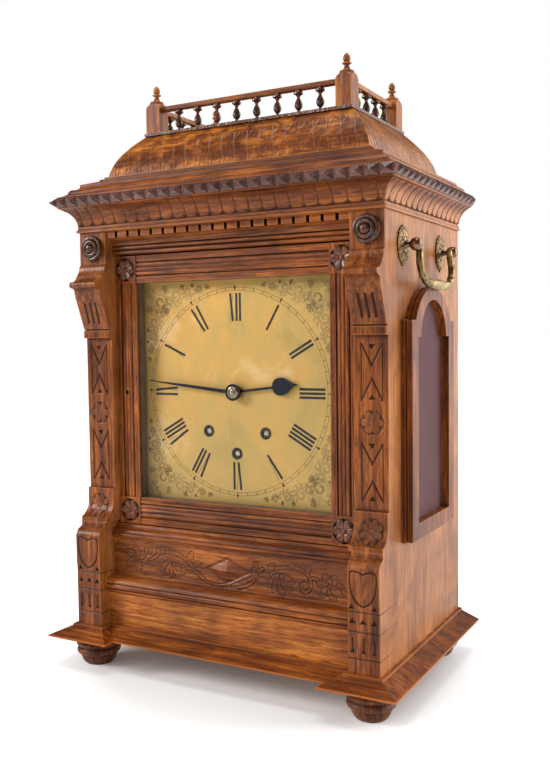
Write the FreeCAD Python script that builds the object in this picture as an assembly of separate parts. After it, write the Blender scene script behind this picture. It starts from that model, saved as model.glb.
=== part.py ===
"""Oak bracket clock: arched side windows, carved pilasters, bead cornice, hipped dome and gallery.

Millimetres. Z is up, the dial faces -Y, +X is to the right of someone facing it.
The origin is the middle of the footprint, on the surface that the feet stand on.
"""
import FreeCAD, Part
import math
import os

os.makedirs("parts", exist_ok=True)
V = FreeCAD.Vector

# ---------------------------------------------------------------- driving dimensions: case
DEPTH = 256.0                # plinth tip to the flush back
CASE_W = 348.0               # across the side panels
PLINTH_SIDE = 23.6           # plinth beyond the side panels
PLINTH_FRONT = 22.5          # plinth beyond the pilasters
FOOT_H = 31.5
FOOT_R = 24.0
FOOT_INSET = 15.0            # foot axis inside the side panel's face
FLOOR_T = 10.5
SIDE_T = 14.0
PILASTER_D = 47.5            # pilaster foot, front to back
PILASTER_W = 34.0
PILASTER_FOOT_W = 31.0       # narrower below the sill
SETBACK = 14.5               # base panel behind the pilaster feet
BASE_PANEL_H = 36.0
BASE_PANEL_T = 16.0
LEDGE_H = 18.5               # moulding between base panel and carved panel
CARVED_H = 40.0
CARVED_DEPTH = 23.0          # carved panel's face before the dial board
SILL_H = 13.0
HEAD_H = 17.5
DENTIL_H = 7.0
DENTIL_COUNT = 17
DENTIL_SLOT = 3.6
DENTIL_DEPTH = 28.5          # dentil faces before the dial board
COVE_H = 27.1
BEAD_H = 8.4
SLAB_H = 24.5
DOME_H = 45.1
DOME_WALL = 8.0
GALLERY_BOARD_T = 2.9
GALLERY_W = 245.4
GALLERY_D = 139.9

# ---------------------------------------------------------------- driving dimensions: door
DOOR_H = 285.0
DOOR_T = 13.5
DOOR_SINK = 15.0             # door face before the dial board
STILE_W = 26.5
RAIL_W = 28.5
DOOR_GAP = 1.0               # between the door and the case, all round
LIP_T = 2.5                  # wood in front of the glass
GLASS_T = 2.0
SLIP_W = 4.5                 # sight slip, and the rebate that holds it
HINGE_H = 36.0
KNUCKLE_R = 2.0
LEAF_T = 0.8
LEAF_W = 14.5
PIN_R = 1.0
RUN = 0.05                   # radial running clearance
PLAY = 0.4                   # clearance between parts that pass each other

# ---------------------------------------------------------------- driving dimensions: windows
WINDOW_BACK = 115.0          # window centre before the back of the case
WINDOW_HALF = 46.5
WINDOW_SILL_Z = 170.0
WINDOW_SHOULDER_Z = 347.0
ARCH_HALF = 38.5
ARCH_RISE = 36.0
FRAME_W = 16.5
FRAME_T = 11.3
PANE_T = 2.5
PANE_LAP = 4.0

# ---------------------------------------------------------------- driving dimensions: handles
HANDLE_Z = 432.5
HANDLE_SET = 14.5            # front rose behind the dial board's face
HANDLE_BACK = 63.0           # rear rose before the back of the case
KNOB_OUT = 13.0              # knob centre beyond the side panel
KNOB_R = 6.2
BAIL_DROP = 35.5
BAIL_R = 3.0
GRIP_R = 4.4
BAIL_LEAN = 5.0              # degrees, as it rests on the window arch

# ---------------------------------------------------------------- driving dimensions: movement
DIAL_LAP = 3.5               # dial behind the door's sight edge
DIAL_T = 2.0
WIND_X = 33.7
WIND_DROP = 41.0
WIND_LOW = 63.0
WIND_HOLE_R = 4.5
FERRULE_R = 6.2
SQUARE = 5.0
PLATE_GAP = 16.0             # dial back to front plate
PLATE_T = 2.5
PILLAR_L = 47.5
PLATE_W = 144.0
PLATE_ABOVE = 50.0           # plates above the dial centre
PLATE_BELOW = 92.0
SEAT_T = 12.0
ARBOR_R = 3.0
CENTRE_R = 2.0
PIPE_R = 4.0
BARREL_R = 18.5
CANNON_TEETH = 12
MINUTE_TEETH = 36
PINION_TEETH = 10
HOUR_TEETH = 40
MODULE = 1.0
HAND_T = 1.2
HOUR_ANGLE = 83.0            # degrees clockwise from twelve
MINUTE_ANGLE = 276.0
PENDULUM_L = 198.0
MINUTE_REACH = 104.0
MINUTE_WAIST = 60.0
ARBOR_NOSE = 9.2             # centre arbor before the dial
ROD_RISE = 40.0              # gong rods above their hammers' studs
BACK_KNOB_DROP = 40.0
BOB_R = 28.0

# ---------------------------------------------------------------- levels and planes
HALF_W = CASE_W / 2
INNER_W = HALF_W - SIDE_T
Y_BACK = DEPTH / 2
Y_PILASTER = -DEPTH / 2 + PLINTH_FRONT
Y_BOARD = Y_PILASTER + PILASTER_D          # front of the dial board: back of all the front work
Y_BASE = Y_PILASTER + SETBACK
Y_CARVED = Y_BOARD - CARVED_DEPTH
Y_DOOR = Y_BOARD - DOOR_SINK
BOARD_T = 8.0
Z_FLOOR = FOOT_H + FLOOR_T
Z_LEDGE = Z_FLOOR + BASE_PANEL_H
Z_CARVED = Z_LEDGE + LEDGE_H
Z_SILL = Z_CARVED + CARVED_H
Z_DOOR = Z_SILL + SILL_H + DOOR_GAP
Z_DOOR_TOP = Z_DOOR + DOOR_H
Z_HEAD = Z_DOOR_TOP + 1.5 * DOOR_GAP
Z_DENTIL = Z_HEAD + HEAD_H
Z_TOP = Z_DENTIL + DENTIL_H
Z_BEAD = Z_TOP + COVE_H
Z_SLAB = Z_BEAD + BEAD_H
Z_DOME = Z_SLAB + SLAB_H
Z_GALLERY = Z_DOME + DOME_H
Z_DECK = Z_GALLERY + GALLERY_BOARD_T
X_PILASTER = HALF_W - PILASTER_W           # inner face, beside the door
X_FOOT = HALF_W - PILASTER_FOOT_W          # inner face, beside the panels
DOOR_X = X_PILASTER - DOOR_GAP
SIGHT_X = DOOR_X - STILE_W
SIGHT_Z0 = Z_DOOR + RAIL_W
SIGHT_Z1 = Z_DOOR_TOP - RAIL_W
DIAL_Z = (Z_DOOR + Z_DOOR_TOP) / 2
DIAL_HALF = SIGHT_X + DIAL_LAP
WINDOW_Y = Y_BACK - WINDOW_BACK
HANDLE_FRONT_Y = Y_BOARD + HANDLE_SET
HANDLE_REAR_Y = Y_BACK - HANDLE_BACK
Y_DIAL = Y_BOARD
Y_PLATE = Y_DIAL + DIAL_T + PLATE_GAP
Y_REAR = Y_PLATE + PLATE_T + PILLAR_L
Z_SEAT = DIAL_Z - PLATE_BELOW


# ---------------------------------------------------------------- shape helpers
def box(x0, x1, y0, y1, z0, z1):
    return Part.makeBox(x1 - x0, y1 - y0, z1 - z0, V(x0, y0, z0))


def rod(radius, start, end):
    direction = end - start
    return Part.makeCylinder(radius, direction.Length, start, direction)


def along_y(radius, x, z, y0, y1):
    return Part.makeCylinder(radius, y1 - y0, V(x, y0, z), V(0, 1, 0))


def edges(steps, place):
    """Edges of an outline: a pair is a corner, two pairs are an arc's middle and end."""
    made = []
    here = place(*steps[0])
    for step in steps[1:]:
        if isinstance(step[0], tuple):
            middle, end = place(*step[0]), place(*step[1])
            made.append(Part.Arc(here, middle, end).toShape())
        else:
            end = place(*step)
            made.append(Part.makeLine(here, end))
        here = end
    return made


def last_point(steps):
    step = steps[-1]
    return step[1] if isinstance(step[0], tuple) else step


def closed_face(edge_list):
    ordered = Part.__sortEdges__(edge_list)
    return Part.Face(Part.Wire(ordered))


def outline_prism(steps, place, sweep):
    """Solid of a closed outline, whose last point is joined to its first."""
    made = edges(steps, place)
    made.append(Part.makeLine(place(*last_point(steps)), place(*steps[0])))
    return closed_face(made).extrude(sweep)


def across(steps, x0, x1):
    """Moulding whose (y, z) outline runs along X."""
    return outline_prism(steps, lambda y, z: V(x0, y, z), V(x1 - x0, 0, 0))


def silhouette(profile, low, high, low_bevel, high_bevel, place, sweep):
    """Prism between two sides that follow a (projection, z) profile or stand upright."""
    def side(at, sign, bevel):
        return lambda p, z: place(at + sign * (p if bevel else 0.0), z)
    near, far = side(low, -1, low_bevel), side(high, 1, high_bevel)
    made = []
    for put, bevel in ((near, low_bevel), (far, high_bevel)):
        if bevel:
            made += edges(profile, put)
        else:
            made.append(Part.makeLine(put(*profile[0]), put(*last_point(profile))))
    made.append(Part.makeLine(near(*profile[0]), far(*profile[0])))
    made.append(Part.makeLine(near(*last_point(profile)), far(*last_point(profile))))
    return closed_face(made).extrude(sweep)


REACH = CASE_W + DEPTH           # longer than anything, for prisms that are trimmed


def hipped(profile, x0, x1, y0, y1, sides="lfr"):
    """Mitred moulding block: l, r, f and b say which of its sides carry the profile."""
    run_y = silhouette(profile, x0, x1, "l" in sides, "r" in sides,
                       lambda x, z: V(x, -REACH, z), V(0, 2 * REACH, 0))
    run_x = silhouette(profile, y0, y1, "f" in sides, "b" in sides,
                       lambda y, z: V(-REACH, y, z), V(2 * REACH, 0, 0))
    return run_y.common(run_x)


def turned(steps, base, axis):
    """Solid of revolution of a (radius, height) outline that starts and ends on the axis."""
    made = edges(steps, lambda r, h: V(r, 0, h))
    made.append(Part.makeLine(V(0, 0, last_point(steps)[1]), V(0, 0, steps[0][1])))
    solid = closed_face(made).revolve(V(0, 0, 0), V(0, 0, 1), 360)
    solid.Placement = FreeCAD.Placement(base, FreeCAD.Rotation(V(0, 0, 1), axis))
    return solid


def mirrored(shape):
    return shape.mirror(V(0, 0, 0), V(1, 0, 0))


def group(shapes):
    return Part.makeCompound(list(shapes))


def fuse(first, *others):
    return first.multiFuse(list(others)).removeSplitter()


def write(node, shape):
    if shape.ShapeType == "Compound" and len(shape.Solids) == 1:
        shape = shape.Solids[0]
    shape.exportStep("parts/" + node + ".step")


# ---------------------------------------------------------------- feet, plinth, floor
def foot(x, y):
    r = FOOT_R
    h = FOOT_H
    steps = [(0, 0), (0.60 * r, 0), ((0.75 * r, 0.15 * h), (0.80 * r, 0.30 * h)), (0.78 * r, 0.33 * h),
             ((0.97 * r, 0.44 * h), (0.90 * r, 0.57 * h)), (0.88 * r, 0.60 * h),
             ((r, 0.70 * h), (0.93 * r, 0.81 * h)), (0.82 * r, 0.84 * h), (0.82 * r, h), (0, h)]
    return turned(steps, V(x, y, 0), V(0, 0, 1))


def feet():
    x = HALF_W - FOOT_INSET
    front = Y_PILASTER + FOOT_INSET
    rear = Y_BACK - FOOT_INSET - FOOT_R * 0.75
    return group(foot(sx * x, y) for sx in (-1, 1) for y in (front, rear))


def plinth_profile(reach):
    """From the lower tip up a slope to a ledge and a small fillet against the case."""
    lip = 1.6
    return [(reach - 1.0, FOOT_H), (reach, FOOT_H + 0.6), (reach, FOOT_H + lip), (4.0, Z_FLOOR - 1.2),
            (4.0, Z_FLOOR + 1.4), (0.0, Z_FLOOR + 1.4)]


def plinth():
    side, front = PLINTH_SIDE, PLINTH_FRONT
    step = side / front
    wide = [(p * step, z) for p, z in plinth_profile(front)]
    run_x = silhouette(plinth_profile(front), Y_BASE, Y_BACK, True, False,
                       lambda y, z: V(-REACH, y, z), V(2 * REACH, 0, 0))
    run_y = silhouette(wide, -HALF_W, HALF_W, True, True,
                       lambda x, z: V(x, -REACH, z), V(0, 2 * REACH, 0))
    middle = run_x.common(run_y)
    corner_x = silhouette(plinth_profile(front), Y_PILASTER, Y_BASE + 20, True, False,
                          lambda y, z: V(-REACH, y, z), V(2 * REACH, 0, 0))
    corner_y = silhouette(plinth_profile(front), X_FOOT, HALF_W + REACH / 2, True, False,
                          lambda x, z: V(x, -REACH, z), V(0, 2 * REACH, 0)).common(run_y)
    corner = corner_x.common(corner_y)
    whole = fuse(middle, corner, mirrored(corner))
    return whole.cut(floor_plan(FOOT_H - 5, Z_FLOOR + 20))


def floor_plan(z0, z1):
    """Plan of the case: the middle stands back between the pilaster feet."""
    body = box(-HALF_W, HALF_W, Y_BASE, Y_BACK, z0, z1)
    ear = box(X_FOOT, HALF_W, Y_PILASTER, Y_BASE, z0, z1)
    return fuse(body, ear, mirrored(ear))


def base_board():
    return floor_plan(FOOT_H, Z_FLOOR)


# ---------------------------------------------------------------- side panels and windows
def arched(half, shoulder, arch_half, rise, z0, x0, x1):
    """Window outline centred on WINDOW_Y: upright sides, shoulders, then a low arch."""
    c = WINDOW_Y
    steps = [(c - half, z0), (c + half, z0), (c + half, shoulder), (c + arch_half, shoulder),
             ((c, shoulder + rise), (c - arch_half, shoulder)), (c - half, shoulder)]
    return outline_prism(steps, lambda y, z: V(x0, y, z), V(x1 - x0, 0, 0))


def window_hole(x0, x1, ease=0.0):
    return arched(WINDOW_HALF + ease, WINDOW_SHOULDER_Z, ARCH_HALF + ease, ARCH_RISE + ease,
                  WINDOW_SILL_Z - ease, x0, x1)


def side_panel():
    panel = box(INNER_W, HALF_W, Y_BOARD, Y_BACK, Z_FLOOR, Z_TOP)
    return panel.cut(window_hole(INNER_W - 1, HALF_W + 1))


def frame_layer(x0, x1, inset):
    shoulder = WINDOW_SHOULDER_Z + FRAME_W - inset
    return arched(WINDOW_HALF + FRAME_W - inset, shoulder, ARCH_HALF + 14.0 - inset,
                  ARCH_RISE - 4.0, WINDOW_SILL_Z - FRAME_W + inset, x0, x1)


def window_frame():
    """Face frame on a slightly larger backing, rebated at the back for its pane."""
    back = frame_layer(HALF_W, HALF_W + 0.40 * FRAME_T, 0.0)
    neck = frame_layer(HALF_W + 0.40 * FRAME_T, HALF_W + 0.52 * FRAME_T, 2.0)
    face = frame_layer(HALF_W + 0.52 * FRAME_T, HALF_W + FRAME_T, 0.8)
    whole = fuse(back, neck, face).cut(window_hole(HALF_W - 1, HALF_W + FRAME_T + 1))
    return whole.cut(window_hole(HALF_W - 1, HALF_W + PANE_T, PANE_LAP))


def window_pane():
    return window_hole(HALF_W, HALF_W + PANE_T, PANE_LAP)


# ---------------------------------------------------------------- pilasters
def pilaster_outline():
    """Side view of the scrolled pilaster, as (y, z): foot, block, field, fluted console, cap."""
    f = Y_PILASTER
    up, down = Z_FLOOR, Z_TOP
    return [(f, up), (f, up + 57), ((f - 0.8, up + 76), (f - 1, up + 96)),
            ((f + 0.6, up + 101), (f + 6, up + 105)), (f + 9, up + 106.5), (f + 9, up + 115.5),
            (f + 11, up + 116.5), ((f + 17.5, up + 122), (f + 21, up + 130)), (f + 21, up + 146),
            (f + 24.5, up + 146), (f + 24.5, down - 112), (f + 20, down - 112), (f + 20, down - 104),
            (f + 22, down - 104), (f + 22, down - 102.5), (f + 20.5, down - 102.5),
            (f + 8.5, down - 71), (f + 8, down - 71), (f + 5.5, down - 60.5), (f + 0.5, down - 59),
            ((f - 1.8, down - 56.5), (f, down - 53)), ((f + 7, down - 51), (f + 10, down - 47)),
            (f + 12, down - 44), ((f + 14, down - 41), (f + 15, down - 36.5)), (f + 17, down - 34.5),
            (f + 17, down), (Y_BOARD, down), (Y_BOARD, up)]


def boss(x):
    """Turned boss on the pilaster's top block."""
    r = 13.5
    steps = [(0, 0), (r, 0), (r, 1.5), ((0.93 * r, 3.8), (0.74 * r, 3.9)), (0.70 * r, 3.0),
             ((0.60 * r, 5.6), (0.42 * r, 5.4)), (0.38 * r, 4.6), ((0.26 * r, 7.2), (0.08 * r, 8.0)), (0, 8.0)]
    face = Y_PILASTER + 17
    return turned(steps, V(x, face, Z_TOP - 17.5), V(0, -1, 0))


def pilaster():
    body = across(pilaster_outline(), X_PILASTER, HALF_W)
    relief = box(X_PILASTER - 1, X_FOOT, Y_PILASTER - 20, Y_BOARD + 1, Z_FLOOR - 1, Z_FLOOR + 111)
    body = body.cut(relief)
    for x in (-1, 0, 1):
        middle = X_PILASTER + PILASTER_W / 2 + 7.0 * x
        low = V(middle, Y_PILASTER + 18.2, Z_TOP - 97)
        high = V(middle, Y_PILASTER + 8.6, Z_TOP - 75)
        body = body.cut(rod(1.6, low, high))
    return fuse(body, boss(X_PILASTER + PILASTER_W / 2))


def right_pilaster():
    """The door is hung on this one: each hinge is let into its inner face."""
    body = pilaster()
    for z in hinge_levels():
        body = body.cut(box(X_PILASTER, X_PILASTER + LEAF_T, hinge_y(), hinge_y() + LEAF_W,
                            z - HINGE_H / 2, z + HINGE_H / 2))
        body = body.cut(Part.makeCylinder(KNUCKLE_R + PLAY, HINGE_H, V(hinge_x(), hinge_y(), z - HINGE_H / 2)))
    return body


# ---------------------------------------------------------------- front work between the pilasters
def base_panel():
    return box(-X_FOOT, X_FOOT, Y_BASE, Y_BASE + BASE_PANEL_T, Z_FLOOR, Z_LEDGE)


def ledge_moulding():
    """Reeded moulding that steps back from the base panel to the carved panel."""
    b, z, back = Y_BASE, Z_LEDGE, Y_BASE + BASE_PANEL_T
    steps = [(back, z), (b - 1, z), ((b - 3.2, z + 1.2), (b - 4, z + 3.6)), (b - 3, z + 4.4), (b - 5, z + 5.2),
             ((b - 5.8, z + 7.4), (b - 5, z + 9.6)), (b - 3.6, z + 10.4), (b - 4.6, z + 11.2),
             ((b - 2.6, z + 14.8), (b + 1, z + 16.6)), (Y_CARVED - 1, z + 17.4), (Y_CARVED, z + LEDGE_H),
             (back, z + LEDGE_H)]
    return across(steps, -X_FOOT, X_FOOT)


def carved_panel():
    """Panel with the raised lozenge at its middle."""
    panel = box(-X_FOOT, X_FOOT, Y_CARVED, Y_CARVED + 12, Z_CARVED, Z_SILL)
    middle = (Z_CARVED + Z_SILL) / 2 - 1.5
    half_w, half_h, rise = 24.0, 11.5, 4.0
    base = [V(-half_w, Y_CARVED, middle), V(0, Y_CARVED, middle - half_h),
            V(half_w, Y_CARVED, middle), V(0, Y_CARVED, middle + half_h)]
    tip = V(0, Y_CARVED - rise, middle)
    faces = [Part.Face(Part.makePolygon([base[i], base[(i + 1) % 4], tip, base[i]])) for i in range(4)]
    faces.append(Part.Face(Part.makePolygon(base + [base[0]])))
    return fuse(panel, Part.makeSolid(Part.makeShell(faces)))


def sill_moulding():
    """Ogee sill under the door, with a bead over the carved panel."""
    c, z = Y_CARVED, Z_SILL
    top = z + SILL_H
    steps = [(Y_BOARD, z), (c - 2.2, z), (c - 3.4, z + 1.2), ((c - 4.6, z + 2.8), (c - 3.4, z + 4.4)),
             (c - 2, z + 4.8), ((c - 0.8, z + 7.6), (c + 2, z + 9.2)), ((c + 4.2, z + 10.2), (c + 5.4, top)),
             (Y_BOARD, top)]
    return across(steps, -X_FOOT, X_FOOT)


def head_moulding():
    """Reeded frieze between the door and the dentils."""
    d, z, top = Y_DOOR - 3.5, Z_HEAD, Z_DENTIL
    steps = [(Y_BOARD, z), (d, z), ((d - 1.4, z + 2), (d, z + 4)), (d + 1, z + 4.6), (d, z + 5.2),
             ((d - 1.4, z + 7), (d, z + 8.8)), (d + 1.2, z + 9.4), (d - 0.6, z + 10),
             ((d - 1.6, z + 13.6), (d - 5, z + 16)), (d - 5, top), (Y_BOARD, top)]
    return across(steps, -X_PILASTER, X_PILASTER)


def dentils():
    """Blocks left standing between slots cut in one strip."""
    face, depth = Y_BOARD - DENTIL_DEPTH, 6.5
    strip = box(-X_PILASTER, X_PILASTER, face, Y_BOARD, Z_DENTIL, Z_TOP)
    span = 2 * X_PILASTER - 26.1
    pitch = span / DENTIL_COUNT
    for i in range(DENTIL_COUNT + 1):
        x = -span / 2 + i * pitch
        slot = box(x - DENTIL_SLOT / 2, x + DENTIL_SLOT / 2, face - 1, face + depth, Z_DENTIL - 1, Z_TOP - 0.6)
        strip = strip.cut(slot)
    return strip


# ---------------------------------------------------------------- cornice, slab, dome
Y_CORNICE = Y_PILASTER + 16.5              # projections of the cornice are counted from here


def cornice_block(profile):
    return hipped(profile, -HALF_W, HALF_W, Y_CORNICE, Y_BACK)


def cove():
    z = Z_TOP
    profile = [(2.3, z), (2.3, z + 2.4), (1.0, z + 3.2), (1.0, z + 5.2),
               ((4.2, z + 16.6), (13.8, z + 24.2)), (15.5, z + 24.9), (15.5, z + COVE_H)]
    ring = cornice_block(profile)
    well = box(-INNER_W, INNER_W, Y_BOARD, Y_BACK - SIDE_T, z - 1, z + COVE_H + 1)
    return ring.cut(well)


BEAD_OUT = 17.0
BEAD_TIP = 22.0
BEAD_PITCH = 14.7
BEAD_GAP = 0.9


def pyramid(centre, along, out, half, half_h, rise):
    up = V(0, 0, 1)
    base = [centre - along * half - up * half_h, centre + along * half - up * half_h,
            centre + along * half + up * half_h, centre - along * half + up * half_h]
    tip = centre + out * rise
    faces = [Part.Face(Part.makePolygon([base[i], base[(i + 1) % 4], tip, base[i]])) for i in range(4)]
    faces.append(Part.Face(Part.makePolygon(base + [base[0]])))
    return Part.makeSolid(Part.makeShell(faces))


def bead_moulding():
    """Strip with a row of pyramid beads along the front and both sides."""
    z = Z_BEAD
    profile = [(15.5, z), (BEAD_OUT, z + 0.6), (BEAD_OUT, z + BEAD_H - 0.6), (15.5, z + BEAD_H)]
    well = box(-INNER_W, INNER_W, Y_BOARD, Y_BACK - SIDE_T, z - 1, z + BEAD_H + 1)
    strip = cornice_block(profile).cut(well)
    middle = z + BEAD_H / 2
    half_h, rise = BEAD_H / 2 - 0.6, BEAD_TIP - BEAD_OUT
    corner = 2.5
    edge_x, edge_y = HALF_W + BEAD_OUT, Y_CORNICE - BEAD_OUT
    beads = []
    count = round(2 * edge_x / BEAD_PITCH)
    pitch = 2 * edge_x / count
    for i in range(count):
        x = -edge_x + (i + 0.5) * pitch
        beads.append(pyramid(V(x, edge_y, middle), V(1, 0, 0), V(0, -1, 0), pitch / 2 - BEAD_GAP, half_h, rise))
    count = round((Y_BACK - edge_y) / BEAD_PITCH)
    pitch = (Y_BACK - edge_y) / count
    for i in range(count):
        y = edge_y + (i + 0.5) * pitch
        bead = pyramid(V(edge_x, y, middle), V(0, 1, 0), V(1, 0, 0), pitch / 2 - BEAD_GAP, half_h, rise)
        beads += [bead, mirrored(bead)]
    slant = math.sqrt(2)
    middle_of_corner = V(edge_x - corner / 2, edge_y + corner / 2, middle)
    tip = (rise + corner / 2) * slant
    bead = pyramid(middle_of_corner, V(1, 1, 0) / slant, V(1, -1, 0) / slant, corner / slant, half_h, tip)
    return fuse(strip, *beads, bead, mirrored(bead))


DOME_FOOT = -22.5


def slab():
    z = Z_SLAB
    profile = [(15.5, z), (15.5, z + 1.8), ((11.2, z + 3.2), (7.8, z + 5.4)), (7.8, z + 7.2), (5.6, z + 9.6),
               ((1.6, z + 10.4), (-1.2, z + 12.6)), (-1.2, z + 15.6), (-16.0, z + 20.2), (-16.0, z + 22.0),
               (-19.6, z + 22.6), (-19.6, z + SLAB_H)]
    return cornice_block(profile)


def dome_profile(shrink):
    z, p = Z_DOME, DOME_FOOT - shrink
    return [(p, z), ((p - 3.6, z + 11.5), (p - 9, z + 22)),
            ((p - 17.6, z + 33), (p - 29.6, z + DOME_H - shrink))]


def dome():
    rear = Y_BACK - DOME_FOOT
    outer = hipped(dome_profile(0.0), -HALF_W, HALF_W, Y_CORNICE, rear, "lfrb")
    inner = hipped(dome_profile(DOME_WALL), -HALF_W, HALF_W, Y_CORNICE, rear, "lfrb")
    return outer.cut(inner)


# ---------------------------------------------------------------- gallery
POST_W = 17.0
POST_H = 32.5
FINIAL_H = 19.0
RAIL_TOP = 28.4
RAIL_T = 5.6
RAIL_D = 7.0
FRONT_BALUSTERS = 8
SIDE_BALUSTERS = 4
GALLERY_Y = (Y_CORNICE - DOME_FOOT + 29.6 + (Y_BACK - 29.6)) / 2


def gallery_corner():
    """Post axis on the right, and the front and rear post axes."""
    inset = POST_W / 2 + 1.6
    x = GALLERY_W / 2 - inset
    return x, GALLERY_Y - GALLERY_D / 2 + inset, GALLERY_Y + GALLERY_D / 2 - inset


def gallery_board():
    return box(-GALLERY_W / 2, GALLERY_W / 2, GALLERY_Y - GALLERY_D / 2, GALLERY_Y + GALLERY_D / 2,
               Z_GALLERY, Z_DECK)


def post(x, y):
    """Square post, its shoulders turned round, with a spun finial."""
    half, h = POST_W / 2, POST_H
    block = box(x - half, x + half, y - half, y + half, Z_DECK, Z_DECK + h)
    shoulder = turned([(0, 0), (1.5 * half, 0), (1.5 * half, h - 8), ((1.22 * half, h - 3), (0.8 * half, h)), (0, h)],
                      V(x, y, Z_DECK), V(0, 0, 1))
    f = FINIAL_H
    finial = turned([(0, 0), (6.8, 0), ((7.2, 0.06 * f), (6.6, 0.11 * f)), (4.6, 0.13 * f),
                     ((2.9, 0.26 * f), (2.3, 0.42 * f)), (4.6, 0.47 * f), (4.6, 0.52 * f), (2.4, 0.56 * f),
                     ((3.6, 0.72 * f), (2.2, 0.92 * f)), (0.9, f), (0, f)],
                    V(x, y, Z_DECK + h), V(0, 0, 1))
    return fuse(block.common(shoulder), finial)


def posts():
    x, front, rear = gallery_corner()
    return group(post(sx * x, y) for sx in (-1, 1) for y in (front, rear))


def rails():
    """Front rail and the two side rails, with eased edges."""
    x, front, rear = gallery_corner()
    half, top = POST_W / 2, Z_DECK + RAIL_TOP
    bars = [box(-x + half, x - half, front - RAIL_D / 2, front + RAIL_D / 2, top - RAIL_T, top)]
    side = box(x - RAIL_D / 2, x + RAIL_D / 2, front + half, rear - half, top - RAIL_T, top)
    bars += [side, mirrored(side)]
    eased = []
    for bar in bars:
        long_side = max(e.Length for e in bar.Edges)
        eased.append(bar.makeFillet(1.8, [e for e in bar.Edges if e.Length > long_side - 0.1]))
    return group(eased)


def baluster(x, y):
    h = RAIL_TOP - RAIL_T
    steps = [(0, 0), (3.3, 0), (3.3, 0.04 * h), ((1.9, 0.10 * h), (1.5, 0.17 * h)),
             ((3.5, 0.28 * h), (4.0, 0.41 * h)), ((3.1, 0.54 * h), (1.4, 0.68 * h)),
             ((2.2, 0.785 * h), (4.6, 0.86 * h)), (4.6, 0.93 * h), (3.4, h), (0, h)]
    return turned(steps, V(x, y, Z_DECK), V(0, 0, 1))


def balusters():
    x, front, rear = gallery_corner()
    made = []
    pitch = 2 * x / (FRONT_BALUSTERS + 1.4)
    for i in range(FRONT_BALUSTERS):
        made.append(baluster((i - (FRONT_BALUSTERS - 1) / 2) * pitch, front))
    pitch = (rear - front) / (SIDE_BALUSTERS + 1)
    for i in range(SIDE_BALUSTERS):
        y = front + (i + 1) * pitch
        made += [baluster(x, y), baluster(-x, y)]
    return group(made)


# ---------------------------------------------------------------- back of the case
BACK_T = 12.0
BACK_INSET = 4.0
BACK_STILE = 35.0
BACK_RAIL_LOW = 28.0
BACK_RAIL_TOP = 31.0
Y_BACK_FACE = Y_BACK - BACK_INSET


def back_opening(ease, y0, y1):
    return box(-INNER_W + BACK_STILE + ease, INNER_W - BACK_STILE - ease, y0, y1,
               Z_FLOOR + BACK_RAIL_LOW + ease, Z_TOP - BACK_RAIL_TOP - ease)


def back_frame():
    board = box(-INNER_W, INNER_W, Y_BACK_FACE - BACK_T, Y_BACK_FACE, Z_FLOOR, Z_TOP)
    return board.cut(back_opening(0.0, Y_BACK_FACE - BACK_T - 1, Y_BACK_FACE + 1))


def back_door():
    return back_opening(DOOR_GAP, Y_BACK_FACE - BACK_T, Y_BACK_FACE)


def back_hinge_axis():
    return -INNER_W + BACK_STILE + DOOR_GAP / 2, Y_BACK_FACE + KNUCKLE_R


def back_knob():
    x = INNER_W - BACK_STILE - 16.0
    knob_h = BACK_INSET - PLAY
    return turned([(0, 0), (4.0, 0), (4.0, 0.4 * knob_h), (7.0, 0.5 * knob_h), ((7.4, 0.8 * knob_h), (6.4, knob_h)),
                   (0, knob_h)], V(x, Y_BACK_FACE, DIAL_Z - BACK_KNOB_DROP), V(0, 1, 0))


# ---------------------------------------------------------------- hinges
def hinge_x():
    return X_PILASTER - DOOR_GAP / 2


def hinge_y():
    return Y_DOOR - 3.5


def hinge_levels():
    return Z_DOOR + 48, Z_DOOR_TOP - 48


def back_hinge_levels():
    return Z_FLOOR + 80, Z_TOP - 80


def knuckles(x, y, z, moving):
    """Knuckles of one leaf: the middle third moves, the two outer thirds and the pin stay."""
    third = HINGE_H / 3
    if moving:
        tube = Part.makeCylinder(KNUCKLE_R, third - 0.6, V(x, y, z - third / 2 + 0.3))
        return tube.cut(Part.makeCylinder(PIN_R + RUN, third, V(x, y, z - third / 2)))
    low = Part.makeCylinder(KNUCKLE_R, third, V(x, y, z - 1.5 * third))
    high = Part.makeCylinder(KNUCKLE_R, third, V(x, y, z + 0.5 * third))
    pin = Part.makeCylinder(PIN_R, HINGE_H, V(x, y, z - 1.5 * third))
    return fuse(low, high, pin)


def front_hinge(z, moving):
    """One leaf, standing on edge beside the gap, with its knuckles."""
    x, y = hinge_x(), hinge_y()
    third = HINGE_H / 3
    leaf_x = DOOR_X - LEAF_T if moving else X_PILASTER
    leaf = box(leaf_x, leaf_x + LEAF_T, y, y + LEAF_W, z - HINGE_H / 2, z + HINGE_H / 2)
    if moving:
        spare = KNUCKLE_R + 0.3
        for z0 in (z - HINGE_H / 2, z + third / 2 - 0.3):
            leaf = leaf.cut(box(leaf_x - 1, leaf_x + 2, y - 1, y + spare, z0, z0 + third + 0.3))
        neck = Part.makeCylinder(PIN_R + RUN, HINGE_H, V(x, y, z - HINGE_H / 2))
        return fuse(leaf, knuckles(x, y, z, True)).cut(neck)
    clear = Part.makeCylinder(KNUCKLE_R + 0.3, third, V(x, y, z - third / 2))
    return fuse(leaf.cut(clear), knuckles(x, y, z, False))


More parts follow.
